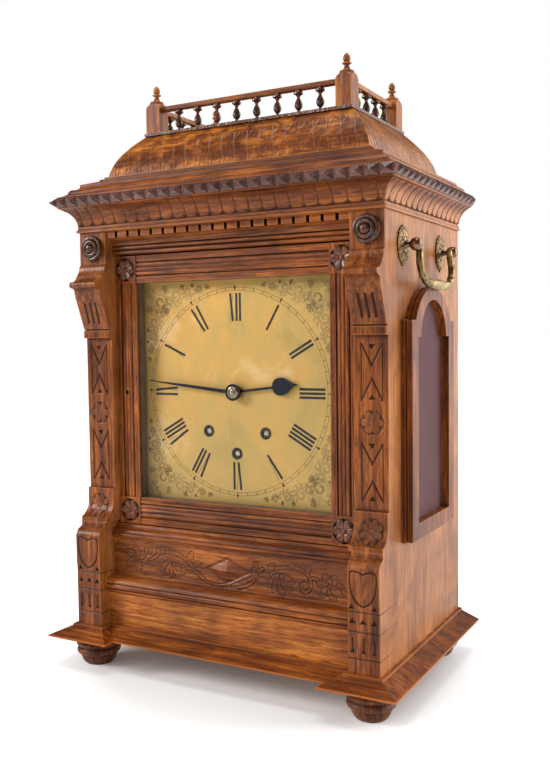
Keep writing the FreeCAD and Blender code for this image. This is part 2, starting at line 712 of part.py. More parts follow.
def back_hinge(z, moving):
    """Surface hinge: both leaves lie flat on the back."""
    x, y = back_hinge_axis()
    third = HINGE_H / 3
    width = LEAF_W
    gap = DOOR_GAP / 2
    low = x + gap if moving else x - width
    leaf = box(low, low + width - gap, Y_BACK_FACE, Y_BACK_FACE + LEAF_T, z - HINGE_H / 2, z + HINGE_H / 2)
    arm = box(min(x, low), max(x, low + 1), Y_BACK_FACE, Y_BACK_FACE + LEAF_T, 0, 1)
    spans = [(z - third / 2 + 0.3, z + third / 2 - 0.3)] if moving else \
        [(z - HINGE_H / 2, z - third / 2), (z + third / 2, z + HINGE_H / 2)]
    bridge = [box(min(x, x + (gap if moving else -gap)), max(x, x + (gap if moving else -gap)),
                  Y_BACK_FACE, Y_BACK_FACE + LEAF_T, z0, z1) for z0, z1 in spans]
    clear_spans = [(z - HINGE_H / 2, z - third / 2 + 0.3), (z + third / 2 - 0.3, z + HINGE_H / 2)] if moving else \
        [(z - third / 2, z + third / 2)]
    for z0, z1 in clear_spans:
        leaf = leaf.cut(Part.makeCylinder(KNUCKLE_R + 0.3, z1 - z0, V(x, y, z0)))
    whole = fuse(leaf, knuckles(x, y, z, moving), *bridge)
    if moving:
        whole = whole.cut(Part.makeCylinder(PIN_R + RUN, HINGE_H, V(x, y, z - HINGE_H / 2)))
    return whole


# ---------------------------------------------------------------- front door
GROOVE_D = 1.8


def reeding(width):
    """Face of a stile or rail, as (distance from the sight edge, depth): three reeds between grooves."""
    a, b = 0.22 * width, 0.79 * width
    third = (b - a - 3.0) / 3
    steps = [(a, 0), (a + 0.4, GROOVE_D), (a + 1.1, GROOVE_D)]
    start = a + 1.5
    for i in range(3):
        steps.append((start + i * third, 0.7))
        steps.append(((start + (i + 0.5) * third, -0.2), (start + (i + 1) * third - 0.2, 0.7)))
    steps += [(b - 1.1, GROOVE_D), (b - 0.4, GROOVE_D), (b, 0)]
    return steps


def door_member(width, low, high, place, sweep):
    """Stile or rail with its reeded face and the rebate for the glass and its slip."""
    steps = [(0, 0)] + reeding(width) + [(width, 0), (width, DOOR_T), (SLIP_W, DOOR_T), (SLIP_W, LIP_T), (0, LIP_T)]
    return outline_prism(steps, place, sweep)


def door_frame():
    long_z, long_x = SIGHT_Z1 - SIGHT_Z0, 2 * SIGHT_X
    stile = door_member(STILE_W, 0, long_z, lambda w, d: V(SIGHT_X + w, Y_DOOR + d, SIGHT_Z0), V(0, 0, long_z))
    top = door_member(RAIL_W, 0, long_x, lambda w, d: V(-SIGHT_X, Y_DOOR + d, SIGHT_Z1 + w), V(long_x, 0, 0))
    low = door_member(RAIL_W, 0, long_x, lambda w, d: V(-SIGHT_X, Y_DOOR + d, SIGHT_Z0 - w), V(long_x, 0, 0))
    corner = box(SIGHT_X, DOOR_X, Y_DOOR - 0.8, Y_DOOR + DOOR_T, Z_DOOR, SIGHT_Z0)
    rebate = box(-SIGHT_X - SLIP_W, SIGHT_X + SLIP_W, Y_DOOR + LIP_T, Y_DOOR + DOOR_T + 1,
                 SIGHT_Z0 - SLIP_W, SIGHT_Z1 + SLIP_W)
    lift = SIGHT_Z1 - Z_DOOR
    corners = [corner, corner.translated(V(0, 0, lift)), mirrored(corner), mirrored(corner).translated(V(0, 0, lift))]
    frame = fuse(stile, mirrored(stile), top, low, *corners).cut(rebate)
    for z in hinge_levels():
        frame = frame.cut(box(DOOR_X - LEAF_T, DOOR_X + 1, Y_DOOR - 2, hinge_y() + LEAF_W,
                              z - HINGE_H / 2, z + HINGE_H / 2))
    return frame.cut(lock_shape())


def door_slip():
    """Metal slip inside the sight: it holds the glass and hides the space before the dial."""
    y0, y1 = Y_DOOR + LIP_T + GLASS_T, Y_DOOR + DOOR_T
    outer = box(-SIGHT_X - SLIP_W, SIGHT_X + SLIP_W, y0, y1, SIGHT_Z0 - SLIP_W, SIGHT_Z1 + SLIP_W)
    return outer.cut(box(-SIGHT_X, SIGHT_X, y0 - 1, y1 + 1, SIGHT_Z0, SIGHT_Z1))


def door_glass():
    y0 = Y_DOOR + LIP_T
    return box(-SIGHT_X - SLIP_W, SIGHT_X + SLIP_W, y0, y0 + GLASS_T, SIGHT_Z0 - SLIP_W, SIGHT_Z1 + SLIP_W)


def rosette(x, z, face, radius, petals, rise):
    """Carved flower: a low dished disc with scooped petals and a button."""
    disc = turned([(0, 0), (radius, 0), (radius, 0.4 * rise), ((0.7 * radius, rise), (0.3 * radius, 0.5 * rise)),
                   ((0.24 * radius, 0.95 * rise), (0.08 * radius, 1.1 * rise)), (0, 1.1 * rise)], V(x, face, z), V(0, -1, 0))
    for i in range(petals):
        angle = 2 * math.pi * (i + 0.5) / petals
        notch = V(x + 1.06 * radius * math.cos(angle), face - 2 * rise, z + 1.06 * radius * math.sin(angle))
        disc = disc.cut(Part.makeCylinder(0.17 * radius, 2 * rise - 0.2, notch, V(0, 1, 0)))
    return disc


def door_rosettes():
    x = (SIGHT_X + DOOR_X) / 2
    face = Y_DOOR - 0.8
    levels = (Z_DOOR + RAIL_W / 2, Z_DOOR_TOP - RAIL_W / 2)
    return group(rosette(sx * x, z, face, 10.5, 6, 2.2) for sx in (-1, 1) for z in levels)


LOCK_X = 12.0                # keyhole inside the door's left edge


def lock_shape():
    x = -DOOR_X + LOCK_X
    body = box(x - 8, x + 7, Y_DOOR + DOOR_T - 7, Y_DOOR + DOOR_T, DIAL_Z - 20, DIAL_Z + 16)
    neck = along_y(3.2, x, DIAL_Z - 1.5, Y_DOOR - 0.3, Y_DOOR + DOOR_T - 1)
    return fuse(body, neck)


def door_lock():
    """Box lock let into the back of the stile, its keyhole bushed through to the front."""
    x, z = -DOOR_X + LOCK_X, DIAL_Z - 1.5
    hole = fuse(along_y(1.6, x, z, Y_DOOR - 1, Y_DOOR + DOOR_T - 2),
                box(x - 0.7, x + 0.7, Y_DOOR - 1, Y_DOOR + DOOR_T - 2, z - 2.8, z))
    return lock_shape().cut(hole)


# ---------------------------------------------------------------- handles
def handle_mounts():
    """Two cast roses with their posts and pierced ball ends, on the right side panel."""
    made = []
    for y, inward in ((HANDLE_FRONT_Y, 1), (HANDLE_REAR_Y, -1)):
        tall = 17.0
        steps = [(0, 0), (tall, 0), (tall, 0.8), ((0.6 * tall, 2.6), (0.25 * tall, 2.8)), (0.2 * tall, 2.8), (0, 2.8)]
        rose = turned(steps, V(0, 0, 0), V(1, 0, 0))
        squeeze = FreeCAD.Matrix()
        squeeze.scale(1.0, 0.86, 1.0)
        rose = rose.transformGeometry(squeeze).translated(V(HALF_W, y, HANDLE_Z))
        neck = turned([(0, 0), (4.4, 0), (4.4, 2.8), ((2.9, 5.0), (3.1, KNOB_OUT)), (0, KNOB_OUT)],
                      V(HALF_W, y, HANDLE_Z), V(1, 0, 0))
        ball = Part.makeSphere(KNOB_R, V(HALF_W + KNOB_OUT, y, HANDLE_Z))
        bore = rod(BAIL_END_R + RUN, V(HALF_W + KNOB_OUT, y, HANDLE_Z),
                   V(HALF_W + KNOB_OUT, y + inward * 2 * KNOB_R, HANDLE_Z))
        made.append(fuse(rose, neck, ball).cut(bore))
    return group(made)


BAIL_END_R = 1.6
BAIL_SIDE = 3.5              # leg axis beyond the ball
BAIL_FLARE = 3.0             # legs bow outward by this much


def bail_path(y0, y1, x, z):
    """Centre line of the hanging loop: down one bowed leg, across the bottom, up the other."""
    drop = BAIL_DROP
    half = [(0, 0), (-0.6 * BAIL_FLARE, -0.24 * drop), (-BAIL_FLARE, -0.48 * drop), (0.6, -0.74 * drop),
            (9.0, -0.93 * drop), (22.0, -drop)]
    down = [V(x, y0 + dy, z + dz) for dy, dz in half]
    up = [V(x, y1 - dy, z + dz) for dy, dz in reversed(half)]
    curve = Part.BSplineCurve()
    curve.interpolate(down + [V(x, (y0 + y1) / 2, z - drop)] + up)
    return curve


def bail():
    """Drop handle: a bent bar with pins turned outward at its ends and a swelling grip."""
    y0 = HANDLE_FRONT_Y + KNOB_R + BAIL_SIDE
    y1 = HANDLE_REAR_Y - KNOB_R - BAIL_SIDE
    r, drop = BAIL_R, BAIL_DROP
    x, z = HALF_W + KNOB_OUT, HANDLE_Z
    path = bail_path(y0, y1, x, z)
    start = path.tangent(path.FirstParameter)[0]
    ring = Part.Wire([Part.Circle(V(x, y0, z), start, r).toShape()])
    bar = Part.Wire([path.toShape()]).makePipeShell([ring], True, True)
    ends = []
    for y, sign in ((y0, 1), (y1, -1)):
        ends.append(rod(BAIL_END_R, V(x, y - sign * (BAIL_SIDE + 3.8), z), V(x, y, z)))
        ends.append(Part.makeSphere(r + 0.1, V(x, y, z)))
    middle = (y0 + y1) / 2
    half = (y1 - y0) / 2 - 24
    grip = turned([(0, 0), (r - 0.2, 0), ((GRIP_R, 0.4 * half), (GRIP_R, half)),
                   ((GRIP_R, 1.6 * half), (r - 0.2, 2 * half)), (0, 2 * half)],
                  V(x, middle - half, z - drop), V(0, 1, 0))
    whole = fuse(bar, grip, *ends)
    whole.rotate(V(x, 0, z), V(0, -1, 0), BAIL_LEAN)
    return whole


# ---------------------------------------------------------------- dial and movement
WIND_POINTS = ((-WIND_X, -WIND_DROP), (0.0, -WIND_LOW), (WIND_X, -WIND_DROP))


def dial_board():
    """Board behind the door, cut out for the dial."""
    board = box(-INNER_W, INNER_W, Y_BOARD, Y_BOARD + BOARD_T, Z_FLOOR, Z_TOP)
    hole = DIAL_HALF
    return board.cut(box(-hole, hole, Y_BOARD - 1, Y_BOARD + BOARD_T + 1, DIAL_Z - hole, DIAL_Z + hole))


def dial_feet_points():
    return [(sx * (PLATE_W / 2 - 10), DIAL_Z + dz) for sx in (-1, 1) for dz in (PLATE_ABOVE - 10, -PLATE_BELOW + 12)]


def dial_plate():
    """Square brass dial with bushed winding holes and four riveted feet."""
    plate = box(-DIAL_HALF, DIAL_HALF, Y_DIAL, Y_DIAL + DIAL_T, DIAL_Z - DIAL_HALF, DIAL_Z + DIAL_HALF)
    legs = [along_y(2.5, x, z, Y_DIAL + DIAL_T, Y_PLATE) for x, z in dial_feet_points()]
    bushes = [along_y(FERRULE_R, x, DIAL_Z + dz, Y_DIAL - 0.5, Y_DIAL) for x, dz in WIND_POINTS]
    plate = fuse(plate, *legs, *bushes)
    for x, dz in WIND_POINTS:
        plate = plate.cut(along_y(WIND_HOLE_R, x, DIAL_Z + dz, Y_DIAL - 1, Y_DIAL + DIAL_T + 1))
    return plate.cut(along_y(PIPE_R + PLAY, 0, DIAL_Z, Y_DIAL - 1, Y_DIAL + DIAL_T + 1))


def plate_blank(y):
    return box(-PLATE_W / 2, PLATE_W / 2, y, y + PLATE_T, Z_SEAT, DIAL_Z + PLATE_ABOVE)


def pillar_points():
    return [(sx * (PLATE_W / 2 - 22), DIAL_Z + dz) for sx in (-1, 1) for dz in (PLATE_ABOVE - 8, -PLATE_BELOW + 8)]


WHEEL_STUD_R = 1.5
GEAR_CENTRES = MODULE * (CANNON_TEETH + MINUTE_TEETH) / 2


def bored(plate, y, arbor_r):
    for x, dz in WIND_POINTS:
        plate = plate.cut(along_y(arbor_r + RUN, x, DIAL_Z + dz, y - 1, y + PLATE_T + 1))
    return plate.cut(along_y(CENTRE_R + RUN, 0, DIAL_Z, y - 1, y + PLATE_T + 1))


def front_plate():
    """Front plate with its four riveted pillars and the stud of the minute wheel."""
    pillars = [along_y(4.0, x, z, Y_PLATE + PLATE_T, Y_REAR) for x, z in pillar_points()]
    stud = along_y(WHEEL_STUD_R, GEAR_CENTRES, DIAL_Z, Y_PLATE - 14.4, Y_PLATE)
    return bored(fuse(plate_blank(Y_PLATE), stud, *pillars), Y_PLATE, ARBOR_R)


HAMMER_X, HAMMER_DZ = -64.0, -78.0
HAMMER_PIVOTS = ((HAMMER_X, HAMMER_DZ, 20.0), (HAMMER_X, HAMMER_DZ + 34, 34.0))


def rear_plate():
    """Rear plate with the studs that the hammers swing on."""
    plate = plate_blank(Y_REAR)
    studs = [along_y(2.0, x, DIAL_Z + dz, Y_REAR + PLATE_T, Y_REAR + PLATE_T + out + 4)
             for x, dz, out in HAMMER_PIVOTS]
    return bored(fuse(plate, *studs), Y_REAR, ARBOR_R - 0.5)


def seat_board():
    return box(-INNER_W, INNER_W, Y_BOARD + BOARD_T, Y_REAR + PLATE_T + 2, Z_SEAT - SEAT_T, Z_SEAT)


def winding_arbor(x, dz):
    """Spring barrel with its great wheel, and the arbor that a key winds."""
    z = DIAL_Z + dz
    shoulder = Y_PLATE - 6
    arbor = along_y(ARBOR_R, x, z, shoulder, Y_REAR - 3)
    pivot = along_y(ARBOR_R - 0.5, x, z, Y_REAR - 3, Y_REAR + PLATE_T + 1)
    square = box(x - SQUARE / 2, x + SQUARE / 2, Y_DIAL + 0.6, shoulder, z - SQUARE / 2, z + SQUARE / 2)
    square = square.common(along_y(ARBOR_R, x, z, Y_DIAL, shoulder))
    barrel = along_y(BARREL_R, x, z, Y_PLATE + PLATE_T + 4, Y_REAR - 10)
    great = along_y(BARREL_R + 1.4, x, z, Y_REAR - 10, Y_REAR - 7.5)
    return fuse(arbor, pivot, square, barrel, great)


def gear(teeth, module, x, z, y0, y1, phase):
    """Straight-flanked clock gear: phase turns it by that share of a tooth pitch."""
    pitch_r = module * teeth / 2
    tip, root = pitch_r + 0.75 * module, pitch_r - 1.05 * module
    step = 2 * math.pi / teeth
    points = []
    for i in range(teeth):
        centre = (i + phase) * step
        for radius, share in ((root, -0.27), (tip, -0.12), (tip, 0.12), (root, 0.27)):
            angle = centre + share * step
            points.append(V(x + radius * math.cos(angle), y0, z + radius * math.sin(angle)))
    points.append(points[0])
    return Part.Face(Part.makePolygon(points)).extrude(V(0, y1 - y0, 0))


def centre_arbor():
    """Centre arbor with the cannon pinion in front and the centre wheel between the plates."""
    y = Y_PLATE
    arbor = along_y(CENTRE_R, 0, DIAL_Z, Y_DIAL - ARBOR_NOSE, Y_REAR + PLATE_T + 1)
    cannon = gear(CANNON_TEETH, MODULE, 0, DIAL_Z, y - 9.0, y - 5.6, 0.0)
    wheel = gear(80, 0.6, 0, DIAL_Z, y + 32, y + 34, 0.0)
    hub = along_y(5.0, 0, DIAL_Z, y + 28, y + 32)
    return fuse(arbor, cannon, wheel, hub)


def minute_wheel():
    """Wheel and pinion of the motion work, on its stud."""
    y, x = Y_PLATE, GEAR_CENTRES
    wheel = gear(MINUTE_TEETH, MODULE, x, DIAL_Z, y - 8.4, y - 6.2, 0.5)
    second = 2 * GEAR_CENTRES / (PINION_TEETH + HOUR_TEETH)
    pinion = gear(PINION_TEETH, second, x, DIAL_Z, y - 14.0, y - 8.4, 0.0)
    return fuse(wheel, pinion).cut(along_y(WHEEL_STUD_R + RUN, x, DIAL_Z, y - 15, y - 1))


def hour_wheel():
    """Hour wheel and the pipe that carries the hour hand, free on the centre arbor."""
    y = Y_PLATE
    second = 2 * GEAR_CENTRES / (PINION_TEETH + HOUR_TEETH)
    wheel = gear(HOUR_TEETH, second, 0, DIAL_Z, y - 13.4, y - 11.4, 0.5)
    pipe = along_y(PIPE_R, 0, DIAL_Z, Y_DIAL - 4.2, y - 11.4)
    return fuse(wheel, pipe).cut(along_y(CENTRE_R + RUN, 0, DIAL_Z, Y_DIAL - 10, y))


def pointed(shape, clockwise):
    """Turns a hand drawn at twelve to its place on the dial."""
    turned_hand = shape.copy()
    turned_hand.rotate(V(0, 0, DIAL_Z), V(0, 1, 0), clockwise)
    return turned_hand


def hour_hand():
    """Spade hand: slim stem, round leaf and a drawn-out tip."""
    y0 = Y_DIAL - 4.2
    z = DIAL_Z
    centre, r, tip = 53.0, 9.0, 76.0
    hub = along_y(7.6, 0, z, y0, y0 + HAND_T)
    stem = outline_prism([(-1.4, z), (1.4, z), (1.2, z + centre), (-1.2, z + centre)],
                         lambda x, h: V(x, y0, h), V(0, HAND_T, 0))
    leaf = spade_leaf(y0, z, centre, r, tip)
    return pointed(fuse(hub, stem, leaf).cut(along_y(PIPE_R, 0, z, y0 - 1, y0 + HAND_T + 1)), HOUR_ANGLE)


def spade_leaf(y0, z, centre, r, tip):
    def place(x, h):
        return V(x, y0, z + h)
    low, side, waist = (0, centre - r), (r, centre), (0.45 * r, centre + 1.15 * r)
    half = [low, ((0.707 * r, centre - 0.707 * r), side), ((0.86 * r, centre + 0.62 * r), waist),
            ((0.14 * r, centre + 1.75 * r), (0, tip))]
    right = edges(half, place)
    left = edges(half, lambda x, h: place(-x, h))
    return closed_face(right + left).extrude(V(0, HAND_T, 0))


def minute_hand():
    """Plain tapered hand with a round boss."""
    y0 = Y_DIAL - 7.4
    z = DIAL_Z
    rod_face = outline_prism([(-2.0, z - 6), (2.0, z - 6), (1.5, z + MINUTE_WAIST),
                              (0.35, z + MINUTE_REACH), (-0.35, z + MINUTE_REACH), (-1.5, z + MINUTE_WAIST)], lambda x, h: V(x, y0, h), V(0, HAND_T, 0))
    hub = along_y(8.6, 0, z, y0 - 0.4, y0 + HAND_T)
    return pointed(fuse(rod_face, hub).cut(along_y(CENTRE_R, 0, z, y0 - 1, y0 + HAND_T + 1)), MINUTE_ANGLE)


def hand_nut():
    """Round nut on the end of the centre arbor."""
    y1 = Y_DIAL - 7.8
    nut = turned([(0, 0), (6.4, 0), (6.4, 0.9), ((5.2, 1.9), (3.4, 2.1)), (0, 2.1)], V(0, y1, DIAL_Z), V(0, -1, 0))
    return nut.cut(along_y(CENTRE_R, 0, DIAL_Z, Y_DIAL - 9.2, y1 + 1))


# ---------------------------------------------------------------- pendulum, hammers, gongs
def back_cock():
    """Bracket on the rear plate with the pin that the pendulum swings on."""
    z = DIAL_Z + PLATE_ABOVE - 14
    y = Y_REAR + PLATE_T
    foot_plate = box(-14, 14, y, y + 2, z - 4, z + 12)
    arm = box(-4, 4, y + 2, y + 18, z + 5, z + 9)
    drop = box(-4, 4, y + 18, y + 20, z - 4, z + 9)
    pin = along_y(1.5, 0, z, y + 8, y + 18)
    return fuse(foot_plate, arm, drop, pin)


def pendulum():
    """Rod hung on the cock's pin, with a lenticular bob and its rating nut."""
    z = DIAL_Z + PLATE_ABOVE - 14
    y = Y_REAR + PLATE_T + 12
    eye = along_y(4.0, 0, z, y - 2, y + 2)
    stem = rod(1.5, V(0, y, z - 3.5), V(0, y, z - PENDULUM_L - BOB_R - 10))
    bob = turned([(0, -7), (2, -7), ((0.6 * BOB_R, -5.4), (BOB_R, -1.0)), (BOB_R, 1.0), ((0.6 * BOB_R, 5.4), (2, 7)),
                  (0, 7)],
                 V(0, y, z - PENDULUM_L), V(0, 1, 0))
    nut = Part.makeCylinder(4.0, 4.0, V(0, y, z - PENDULUM_L - BOB_R - 8))
    return fuse(eye, stem, bob, nut).cut(along_y(1.5 + RUN, 0, z, y - 3, y + 3))


GONG_X = -94.0
GONG_R = 2.0


def gong_levels():
    return [Y_REAR + PLATE_T + out for _, _, out in HAMMER_PIVOTS]


def gongs():
    """Iron block on the floor of the case with two upright gong rods."""
    y0, y1 = gong_levels()
    block = box(GONG_X - 16, GONG_X + 16, y0 - 14, y1 + 14, Z_FLOOR, Z_FLOOR + 22)
    rods = [rod(GONG_R, V(GONG_X, y, Z_FLOOR + 22), V(GONG_X, y, DIAL_Z + dz + ROD_RISE))
            for y, (_, dz, _) in zip((y0, y1), HAMMER_PIVOTS)]
    return fuse(block, *rods)


def hammer(pivot):
    """Standing hammer on its stud: it leans on its stop with the head a little off the gong."""
    x, dz, out = pivot
    y, z = Y_REAR + PLATE_T + out, DIAL_Z + dz
    rise, face = 20.0, GONG_X + GONG_R + 1.0
    hub = along_y(4.2, x, z, y - 2, y + 2)
    arm = box(x - 1.5, x + 1.5, y - 1, y + 1, z, z + rise)
    shank = box(face + 5, x + 1.5, y - 1, y + 1, z + rise - 1.5, z + rise + 1.5)
    head = rod(4.5, V(face, y, z + rise), V(face + 9, y, z + rise))
    return fuse(hub, arm, shank, head).cut(along_y(2.0 + RUN, x, z, y - 3, y + 3))


# ---------------------------------------------------------------- write every node
def main():
    write("bun_feet", feet())
    write("plinth_moulding", plinth())
    write("base_board", base_board())
    for name, make in (("side_panel", side_panel), ("window_frame", window_frame),
                       ("window_pane", window_pane), ("handle_mounts", handle_mounts), ("handle_bail", bail)):
        shape = make()
        write(name + "_right", shape)
        write(name + "_left", mirrored(shape))
    write("pilaster_right", right_pilaster())
    write("pilaster_left", mirrored(pilaster()))
    write("base_panel", base_panel())
    write("ledge_moulding", ledge_moulding())
    write("carved_panel", carved_panel())
    write("sill_moulding", sill_moulding())
    write("head_moulding", head_moulding())
    write("dentil_strip", dentils())
    write("cornice_cove", cove())
    write("bead_moulding", bead_moulding())
    write("top_slab", slab())
    write("dome_roof", dome())
    write("gallery_board", gallery_board())
    write("gallery_posts", posts())
    write("gallery_rails", rails())
    write("gallery_balusters", balusters())
    write("back_frame", back_frame())
    write("back_door", back_door())
    write("back_door_knob", back_knob())
    write("back_hinge_case_leaves", group(back_hinge(z, False) for z in back_hinge_levels()))
    write("back_hinge_door_leaves", group(back_hinge(z, True) for z in back_hinge_levels()))
    write("door_frame", door_frame())
    write("door_rosettes", door_rosettes())
    write("door_glass", door_glass())
    write("door_sight_slip", door_slip())
    write("door_lock", door_lock())
    write("front_hinge_case_leaves", group(front_hinge(z, False) for z in hinge_levels()))
    write("front_hinge_door_leaves", group(front_hinge(z, True) for z in hinge_levels()))
    write("dial_board", dial_board())
    write("dial_plate", dial_plate())
    write("movement_front_plate", front_plate())
    write("movement_rear_plate", rear_plate())
    write("seat_board", seat_board())
    for name, (x, dz) in zip(("chime", "going", "strike"), WIND_POINTS):
        write("winding_barrel_" + name, winding_arbor(x, dz))
    write("centre_arbor", centre_arbor())
    write("minute_wheel", minute_wheel())
    write("hour_wheel", hour_wheel())
    write("hour_hand", hour_hand())
    write("minute_hand", minute_hand())
    write("hand_nut", hand_nut())
    write("back_cock", back_cock())
    write("pendulum", pendulum())
    write("gong_rods", gongs())
    write("hammer_low", hammer(HAMMER_PIVOTS[0]))
    write("hammer_high", hammer(HAMMER_PIVOTS[1]))


main()
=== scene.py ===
"""Dresses the oak bracket clock: carving, engraving, woods, brasses, studio light and camera.

Sizes are written in millimetres, as in the part's own source, and turned into metres when a mesh is made.
"""

import bpy
import math
import numpy as np
from mathutils import Matrix, Vector


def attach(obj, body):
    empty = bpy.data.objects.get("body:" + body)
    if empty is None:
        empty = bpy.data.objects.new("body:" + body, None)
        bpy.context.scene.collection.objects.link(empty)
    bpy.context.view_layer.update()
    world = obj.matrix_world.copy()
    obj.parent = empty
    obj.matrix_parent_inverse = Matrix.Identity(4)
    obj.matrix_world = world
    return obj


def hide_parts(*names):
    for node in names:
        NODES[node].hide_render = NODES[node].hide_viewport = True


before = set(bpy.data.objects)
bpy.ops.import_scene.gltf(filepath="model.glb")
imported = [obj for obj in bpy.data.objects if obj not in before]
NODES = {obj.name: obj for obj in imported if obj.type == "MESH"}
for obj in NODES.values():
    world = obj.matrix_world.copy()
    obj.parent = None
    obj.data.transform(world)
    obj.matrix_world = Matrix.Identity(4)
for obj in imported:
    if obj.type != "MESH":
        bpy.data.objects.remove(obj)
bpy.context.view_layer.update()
MM = 0.001

# -------- sizes shared with the part's source
HALF_W = 174.0
X_PILASTER = 140.0
X_FOOT = 143.0
Y_PILASTER = -105.5
Y_BOARD = -58.0
Y_CORNICE = -89.0
Y_BACK = 128.0
INNER_W = 160.0
Z_FLOOR = 42.0
Z_CARVED = 96.5
Z_SILL = 136.5
Z_SPLIT = 153.0              # pilasters are narrower below this
Z_TOP = 461.5
Z_BEAD = 488.6
Z_SLAB = 497.0
Z_DOME = 521.5
DOME_H = 45.1
DIAL_Z = 293.0
Y_DIAL = -58.0
Y_DOOR = -73.0
HANDLE_Z = 432.5
HANDLE_YS = (-43.5, 65.0)
HANDLE_X = 187.0             # axis of a bail
DOOR_FLOWER_X = 125.75
DOOR_FLOWER_ZS = (164.75, 421.25)
RAIL_T = 14.0                # walls of the hollow cornice
BOSS_IN = 17.0               # from a pilaster's edges to the middle of its boss
WINDING = {"chime_barrel": (-33.7, -41.0), "going_barrel": (0.0, -63.0), "strike_barrel": (33.7, -41.0)}


# -------- materials
class Tree:
    """A node tree and the few calls that grow it."""

    def __init__(self, owner):
        owner.use_nodes = True
        self.tree = owner.node_tree

    def add(self, kind, settings=None, **values):
        """New node with its settings and input values; _ stands for a space in an input's name."""
        node = self.tree.nodes.new("ShaderNode" + kind)
        for key, value in (settings or {}).items():
            setattr(node, key, value)
        for key, value in values.items():
            node.inputs[key.replace("_", " ")].default_value = value
        return node

    def link(self, source, target):
        self.tree.links.new(source, target)

    def feed(self, sockets, values):
        """Links each socket to its value, or sets it to a number or a colour."""
        for socket, value in zip(sockets, values):
            if isinstance(value, (int, float)):
                socket.default_value = value
            elif isinstance(value, tuple):
                socket.default_value = (*value, 1.0)
            else:
                self.link(value, socket)

    def ramp(self, factor, stops):
        node = self.add("ValToRGB")
        elements = node.color_ramp.elements
        while len(elements) < len(stops):
            elements.new(0.5)
        for element, (at, colour) in zip(elements, stops):
            element.position = at
            element.color = (*colour, 1.0)
        self.link(factor, node.inputs["Fac"])
        return node.outputs["Color"]

    def band(self, factor, low, high, out_low=0.0, out_high=1.0):
        node = self.add("MapRange", {"clamp": True}, From_Min=low, From_Max=high, To_Min=out_low, To_Max=out_high)
        self.link(factor, node.inputs["Value"])
        return node.outputs["Result"]

    def math(self, operation, a, b):
        node = self.add("Math", {"operation": operation})
        self.feed(node.inputs, (a, b))
        return node.outputs["Value"]

    def times(self, a, b):
        return self.math("MULTIPLY", a, b)

    def mix(self, factor, a, b, blend="MIX"):
        node = self.add("Mix", {"data_type": "RGBA", "blend_type": blend})
        self.feed((node.inputs["Factor"], node.inputs["A"], node.inputs["B"]), (factor, a, b))
        return next(o for o in node.outputs if o.type == "RGBA")


class Paint(Tree):
    """One material, with the calls that read the object and finish its shader."""

    def __init__(self, name):
        self.mat = bpy.data.materials.new(name)
        super().__init__(self.mat)
        self.shader = self.tree.nodes["Principled BSDF"]
        self.coords = self.add("TexCoord").outputs["Object"]

    def scaled(self, x, y, z):
        node = self.add("Mapping", Scale=(x, y, z))
        self.link(self.coords, node.inputs["Vector"])
        return node.outputs["Vector"]

    def noise(self, vector, scale, detail=5.0, roughness=0.6, distortion=0.0):
        node = self.add("TexNoise", Scale=scale, Detail=detail, Roughness=roughness, Distortion=distortion)
        self.link(vector, node.inputs["Vector"])
        return node.outputs["Fac"]

    def attribute(self, name):
        return self.add("Attribute", {"attribute_name": name}).outputs["Fac"]

    def crevice(self, reach, open_from=0.86, shut_at=0.28, inside=False):
        """1 in a crevice, 0 on open ground."""
        node = self.add("AmbientOcclusion", {"samples": 6, "only_local": True, "inside": inside}, Distance=reach)
        return self.band(node.outputs["AO"], shut_at, open_from, 1.0, 0.0)

    def worn(self, reach):
        """1 on sharp outer edges, 0 elsewhere."""
        return self.crevice(reach, 0.85, 0.35, True)

    def axis(self, name, vector=None):
        """One part of a vector, which is the object's own coordinates if none is given."""
        split = self.add("SeparateXYZ")
        self.link(self.coords if vector is None else vector, split.inputs["Vector"])
        return split.outputs[name]

    def facing(self, name):
        """How squarely the true surface faces along an axis of the world."""
        geometry = self.add("NewGeometry")
        return self.axis(name, geometry.outputs["True Normal"])

    def finish(self, colour=None, roughness=None, bump=None, **values):
        """Links colour, roughness and bump (height, strength, distance), sets the rest and gives the material."""
        if colour is not None:
            self.link(colour, self.shader.inputs["Base Color"])
        if roughness is not None:
            self.link(roughness, self.shader.inputs["Roughness"])
        if bump:
            height, strength, distance = bump
            node = self.add("Bump", Strength=strength, Distance=distance)
            self.link(height, node.inputs["Height"])
            self.link(node.outputs["Normal"], self.shader.inputs["Normal"])
        for key, value in values.items():
            self.shader.inputs[key.replace("_", " ")].default_value = value
        return self.mat


# woods: dark, middle and light
WARM = (0.034, 0.0070, 0.0016), (0.162, 0.0375, 0.0055), (0.42, 0.125, 0.019)
ORANGE = (0.080, 0.0165, 0.0025), (0.29, 0.077, 0.0105), (0.60, 0.215, 0.034)
# A paler copy of the oak for faces that look along X: painted light from the side lamps.
SIDE_LIT = (0.25, 0.078, 0.018), (0.39, 0.138, 0.036), (0.56, 0.230, 0.075)
DARK = (0.016, 0.006, 0.004), (0.065, 0.019, 0.008), (0.20, 0.062, 0.022)
FOOT = (0.022, 0.0060, 0.0030), (0.105, 0.0270, 0.0080), (0.27, 0.082, 0.020)
BEAD = (0.028, 0.012, 0.011), (0.090, 0.036, 0.030), (0.24, 0.110, 0.085)
FLAME = (0.030, 0.0065, 0.0025), (0.165, 0.039, 0.006), (0.64, 0.225, 0.030)
PLAIN = (0.16, 0.075, 0.030), (0.34, 0.18, 0.08), (0.48, 0.28, 0.14)
# Near-black for creases and carved hollows: partly grime, partly painted shade.
GRIME_AND_SHADE = (0.016, 0.007, 0.004)
DUST = (0.40, 0.33, 0.28)


